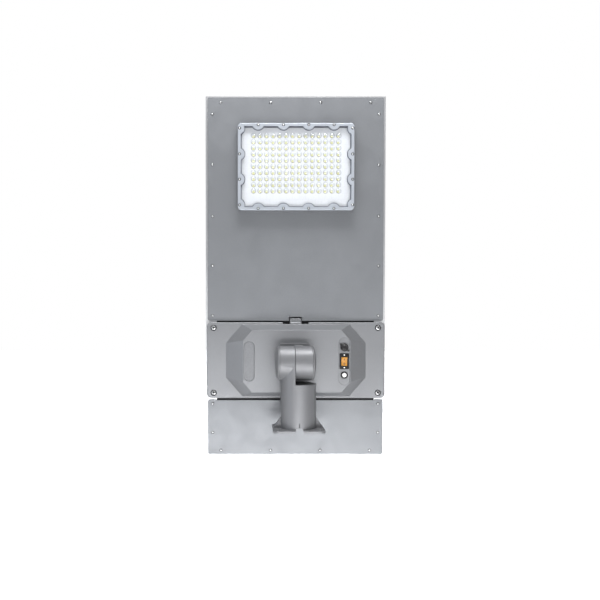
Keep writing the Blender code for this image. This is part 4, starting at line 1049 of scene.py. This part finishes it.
def build_cells():
    """Cells on the laminate with ribbons along each string and cross ribbons at its ends."""
    cells = []
    ribbons = []
    front = LAMINATE_FACE_Y + 0.00002
    back = front + 0.00012
    half_x, half_z = CELL_SIZE[0] / 2, CELL_SIZE[1] / 2
    outline = mirrored([(half_x, half_z - CELL_CORNER), (half_x - CELL_CORNER, half_z)])
    for column in range(CELL_COLUMNS):
        x = (column - (CELL_COLUMNS - 1) / 2) * CELL_PITCH[0]
        for row in range(CELL_ROWS):
            z = PANEL_Z + (row - (CELL_ROWS - 1) / 2) * CELL_PITCH[1]
            ring = [[(x + a, y, z + b) for a, b in outline] for y in (front, back)]
            cells.append(loft(ring))
        string_half = CELL_PITCH[1] * CELL_ROWS / 2
        for bar in range(BUSBARS):
            bar_x = x + (bar - (BUSBARS - 1) / 2) * CELL_SIZE[0] / BUSBARS
            low = (bar_x - 0.0005, back - 0.00003, PANEL_Z - string_half - 0.002)
            high = (bar_x + 0.0005, back + 0.00004, PANEL_Z + string_half + 0.002)
            ribbons.append(block(low, high))
    end_z = CELL_PITCH[1] * CELL_ROWS / 2 + 0.0035
    across = CELL_PITCH[0] * CELL_COLUMNS / 2 - 0.006
    for side in (-1, 1):
        for low_x, high_x in ((-across, -0.006), (0.006, across)):
            z = PANEL_Z + side * end_z
            ribbons.append(block((low_x, front, z - 0.002), (high_x, back, z + 0.002)))
    piece("cell_strings", together(cells), "cell_silicon")
    piece("cell_ribbons", together(ribbons), "ribbon")


# ---- sleeve and tilt head
def build_sleeve():
    tube = rod(SLEEVE_RADIUS, 0.002, PIVOT_Z, (0, 0, 0), "Z", 96)
    end = SPLIT_X - SPLIT_GAP / 2
    knuckle = rod(KNUCKLE_RADIUS, ARM_KNUCKLE_END, end, (0, 0, PIVOT_Z), "X", 96)
    shoulder = block((end, -0.06, SHOULDER_Z), (0.06, 0.06, PIVOT_Z + 0.06))
    foot = plate([rounded_rectangle(*FOOT, 0.012)], -FOOT_THICKNESS, 0)
    foot.transform(AXES["Y"])
    tip = FOOT[0] / 2 - 0.001
    gusset = [(0.033, 0.027), (0.037, 0.0265), (tip, 0.0045), (tip, 0.002), (0.033, 0.002)]
    added = [knuckle, foot]
    added += [plate([[(side * x, z) for x, z in gusset]], -0.007, 0.007) for side in (1, -1)]

    slit = block((-0.0007, -SLEEVE_RADIUS - 0.001, 0.008), (0.0007, -SLEEVE_RADIUS + 0.003, 0.019))
    cut = [
        rod(BORE_RADIUS, -0.01, BORE_TOP, (0, 0, 0), "Z", 96),
        rod(NOTCH_RADIUS, -0.1, 0.1, (0, 0, 0.0005), "Y", 48),
        slit,
        rod(BOLT_BORE_RADIUS, -0.07, 0.03, (0, 0, PIVOT_Z), "X", 32),
        rod(COUNTERBORE_RADIUS, HEAD_SEAT_X - 0.03, HEAD_SEAT_X, (0, 0, PIVOT_Z), "X"),
    ]
    for x in (-FOOT_HOLE_X, FOOT_HOLE_X):
        for y in (-FOOT_HOLE_Y, FOOT_HOLE_Y):
            cut.append(rod(FOOT_HOLE_RADIUS, -0.01, 0.02, (x, y, 0), "Z", 32))
    for z in SET_SCREW_Z:
        cut.append(rod(SET_SCREW_HOLE_RADIUS, -0.015, 0.015, (SLEEVE_RADIUS, 0, z), "X", 32))
    mesh = carve(tube, minus(shoulder), *map(plus, added), *map(minus, cut))
    piece("sleeve_casting", mesh, "head_coat", "arm", ["pole_sleeve"], 0.0008, 3, 24)


def build_bracket():
    start = SPLIT_X + SPLIT_GAP / 2
    knuckle = rod(KNUCKLE_RADIUS, start, HEAD_KNUCKLE_END, (0, 0, PIVOT_Z), "X", 96)
    plate_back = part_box("tilt_bracket")[1].y
    plate_front = plate_back - 0.005
    neck = block(
        (start + 0.0004, 0.004, PIVOT_Z - 0.030), (0.0120, plate_front + 0.002, PIVOT_Z + 0.035)
    )
    foot = [rounded_rectangle(*BRACKET_PLATE, 0.006)]
    plate_z = PIVOT_Z + BRACKET_PLATE_RISE
    added = [neck, plate(foot, plate_front, plate_back, BRACKET_PLATE_X, plate_z)]
    cut = [
        rod(BOLT_BORE_RADIUS, -0.1, 0.1, (0, 0, PIVOT_Z), "X", 32),
        rod(COUNTERBORE_RADIUS, NUT_SEAT_X, NUT_SEAT_X + 0.03, (0, 0, PIVOT_Z), "X"),
    ]
    mesh = carve(knuckle, *map(plus, added), *map(minus, cut))
    piece("bracket_casting", mesh, "head_coat", "head", ["tilt_bracket"], 0.0008, 3, 24)


def build_end_cap(name, node, seat_x, axis, crown, body):
    """A domed cap with a low straight rim and a spigot."""
    radius = KNUCKLE_RADIUS - 0.0008
    edge = 0.0015
    profile = []
    for step in range(CAP_STEPS + 1):
        angle = math.pi / 2 * step / CAP_STEPS
        profile.append((radius * math.sin(angle), edge + (crown - edge) * math.cos(angle)))
    spigot = COUNTERBORE_RADIUS - GAP * 2
    profile += [(radius, 0.0003), (radius - 0.0003, 0)]
    profile += [(spigot, 0), (spigot, -0.0012), (0, -0.0012)]
    mesh = turned(profile, (seat_x, 0, PIVOT_Z), axis, 96)
    piece(name, mesh, "head_coat", body, [node])


def build_end_caps():
    build_end_cap("cap_left", "end_cap_left", ARM_KNUCKLE_END - GAP, "-X", 0.0092, "arm")
    build_end_cap("cap_right", "end_cap_right", HEAD_KNUCKLE_END + GAP, "X", 0.0079, "head")


# ---- carried-over CAD nodes
# each finish, the rounding of its edges and the nodes that have it
NODE_FINISHES = (
    ("frame_across", 0.0003, "frame_rail_top frame_rail_bottom"),
    ("frame_upright", 0.0003, "frame_rail_left frame_rail_right"),
    ("solar_glass", None, "solar_glass"),
    ("back_sheet", None, "solar_laminate"),
    ("black_plastic", None, "junction_box"),
    ("pan_coat", 0.0004, "upper_back_pan"),
    ("grey_rubber", None, "housing_seal"),
    ("mill_sheet", 0.0003, "housing_back_plate"),
    ("battery_wrap", None, "battery_pack"),
    ("cast_grey", None, "charge_controller"),
    ("housing_coat", 0.0006, "lamp_base"),
    ("white_board", None, "lamp_board"),
    ("clear_lens", None, "lamp_lens"),
    ("lens_seal", None, "lamp_seal"),
    ("black_rubber", None, "lamp_lead battery_lead"),
    ("zinc", 0.0003, "battery_strap_left battery_strap_right set_screw_1 set_screw_2"),
    ("zinc", 0.0003, "pivot_bolt pivot_nut washer_left washer_right"),
    ("zinc", None, "bracket_bolt_1 bracket_bolt_2 bracket_bolt_3 bracket_bolt_4"),
)


def finish_nodes():
    for finish, edge, nodes in NODE_FINISHES:
        for node in nodes.split():
            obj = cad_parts[node]
            obj.material_slots[0].material = FINISHES[finish]
            if edge is not None:
                soften(obj, edge, 2, 40)


# ---- floor, light and camera

# name, place, what it is turned to, width and height, power and colour
LIGHTS = (
    ("low_key", (0.03, -0.80, -0.46), (0, 0.05, 0.12), (1.2, 0.3), 10.5, (1, 1, 1)),
    ("front_strip", (0.02, -1.5, -0.26), (0, 0.05, 0.08), (1.0, 0.16), 6.8, (1, 1, 1)),
    ("high_fill", (-0.02, -0.24, 1.45), (0, 0.05, 0.40), (0.9, 0.3), 20, (1, 1, 1)),
    ("left_fill", (-3.2, -1.6, 0.6), (0, 0.05, 0.2), (1.2, 1.6), 23, (0.84, 0.91, 1.0)),
    ("right_soft", (1.6, -2.0, 0.3), (0, 0.05, 0.2), (1.2, 1.2), 2, (1, 1, 1)),
    ("back_fill", (-0.9, 2.4, 1.7), (0, 0.05, 0.2), (1.6, 1.2), 30, (1, 1, 1)),
)


def area_light(name, place, target, size, power, colour):
    light = bpy.data.lights.new(name, "AREA")
    light.shape = "RECTANGLE"
    light.size, light.size_y = size
    light.energy = power
    light.color = colour
    obj = new_object(name, light)
    obj.location = place
    direction = Vector(target) - Vector(place)
    obj.rotation_euler = direction.to_track_quat("-Z", "Y").to_euler()
    obj.visible_camera = False


def build_studio():
    """A white floor and sky to the camera; the sky's light is stronger overhead than aside."""
    bm = bmesh.new()
    bmesh.ops.create_grid(bm, x_segments=8, y_segments=8, size=12)
    bmesh.ops.translate(bm, vec=(0, 0, PANEL_LOW.z - FLOOR_DROP), verts=bm.verts)
    mesh = finished(bm, "floor")
    mesh.materials.append(floor_paint("floor_paint"))
    floor = new_object("floor", mesh)

    world = bpy.data.worlds.new("studio")
    world.use_nodes = True
    tree = world.node_tree
    direction = add_node(tree, "TexCoord").outputs["Generated"]
    split = add_node(tree, "SeparateXYZ", {"Vector": direction})
    light = 1.0
    for axis, *limits in (
        ("Z", 0.35, 0.85, SKY_LOW, SKY_HIGH),
        ("X", -0.85, -0.35, SKY_LEFT, 1.0),
        ("X", 0.35, 0.85, 1.0, SKY_RIGHT),
    ):
        inputs = dict(zip(("From Min", "From Max", "To Min", "To Max"), limits))
        inputs["Value"] = split.outputs[axis]
        share = add_node(tree, "MapRange", inputs).outputs["Result"]
        product = add_node(tree, "Math", {0: light, 1: share}, operation="MULTIPLY")
        light = product.outputs["Value"]
    # the sky itself looks plain white, and only its light is shaped
    seen = add_node(tree, "LightPath").outputs["Is Camera Ray"]
    shown = add_node(tree, "Math", {0: light, 1: seen}, operation="MAXIMUM").outputs["Value"]
    tree.links.new(shown, tree.nodes["Background"].inputs["Color"])
    bpy.context.scene.world = world
    for light in LIGHTS:
        area_light(*light)


def build_camera():
    camera = bpy.data.cameras.new("camera")
    camera.lens = CAMERA_LENS
    camera.sensor_width = 36
    camera.shift_x, camera.shift_y = CAMERA_SHIFT
    obj = new_object("camera", camera)
    obj.location = CAMERA_PLACE
    obj.rotation_euler = (math.pi / 2 + CAMERA_PITCH, 0, 0)
    bpy.context.scene.camera = obj
    bpy.context.scene.view_settings.view_transform = "Standard"


build_housing()
build_housing_screws()
build_cap()
build_socket()
build_switch()
build_rocker()
build_button()
build_bezel()
build_emitters()
build_pan_screws()
build_gap_shade_strips()
build_lower_pan()
build_cells()
build_sleeve()
build_bracket()
build_end_caps()
finish_nodes()
build_studio()
build_camera()
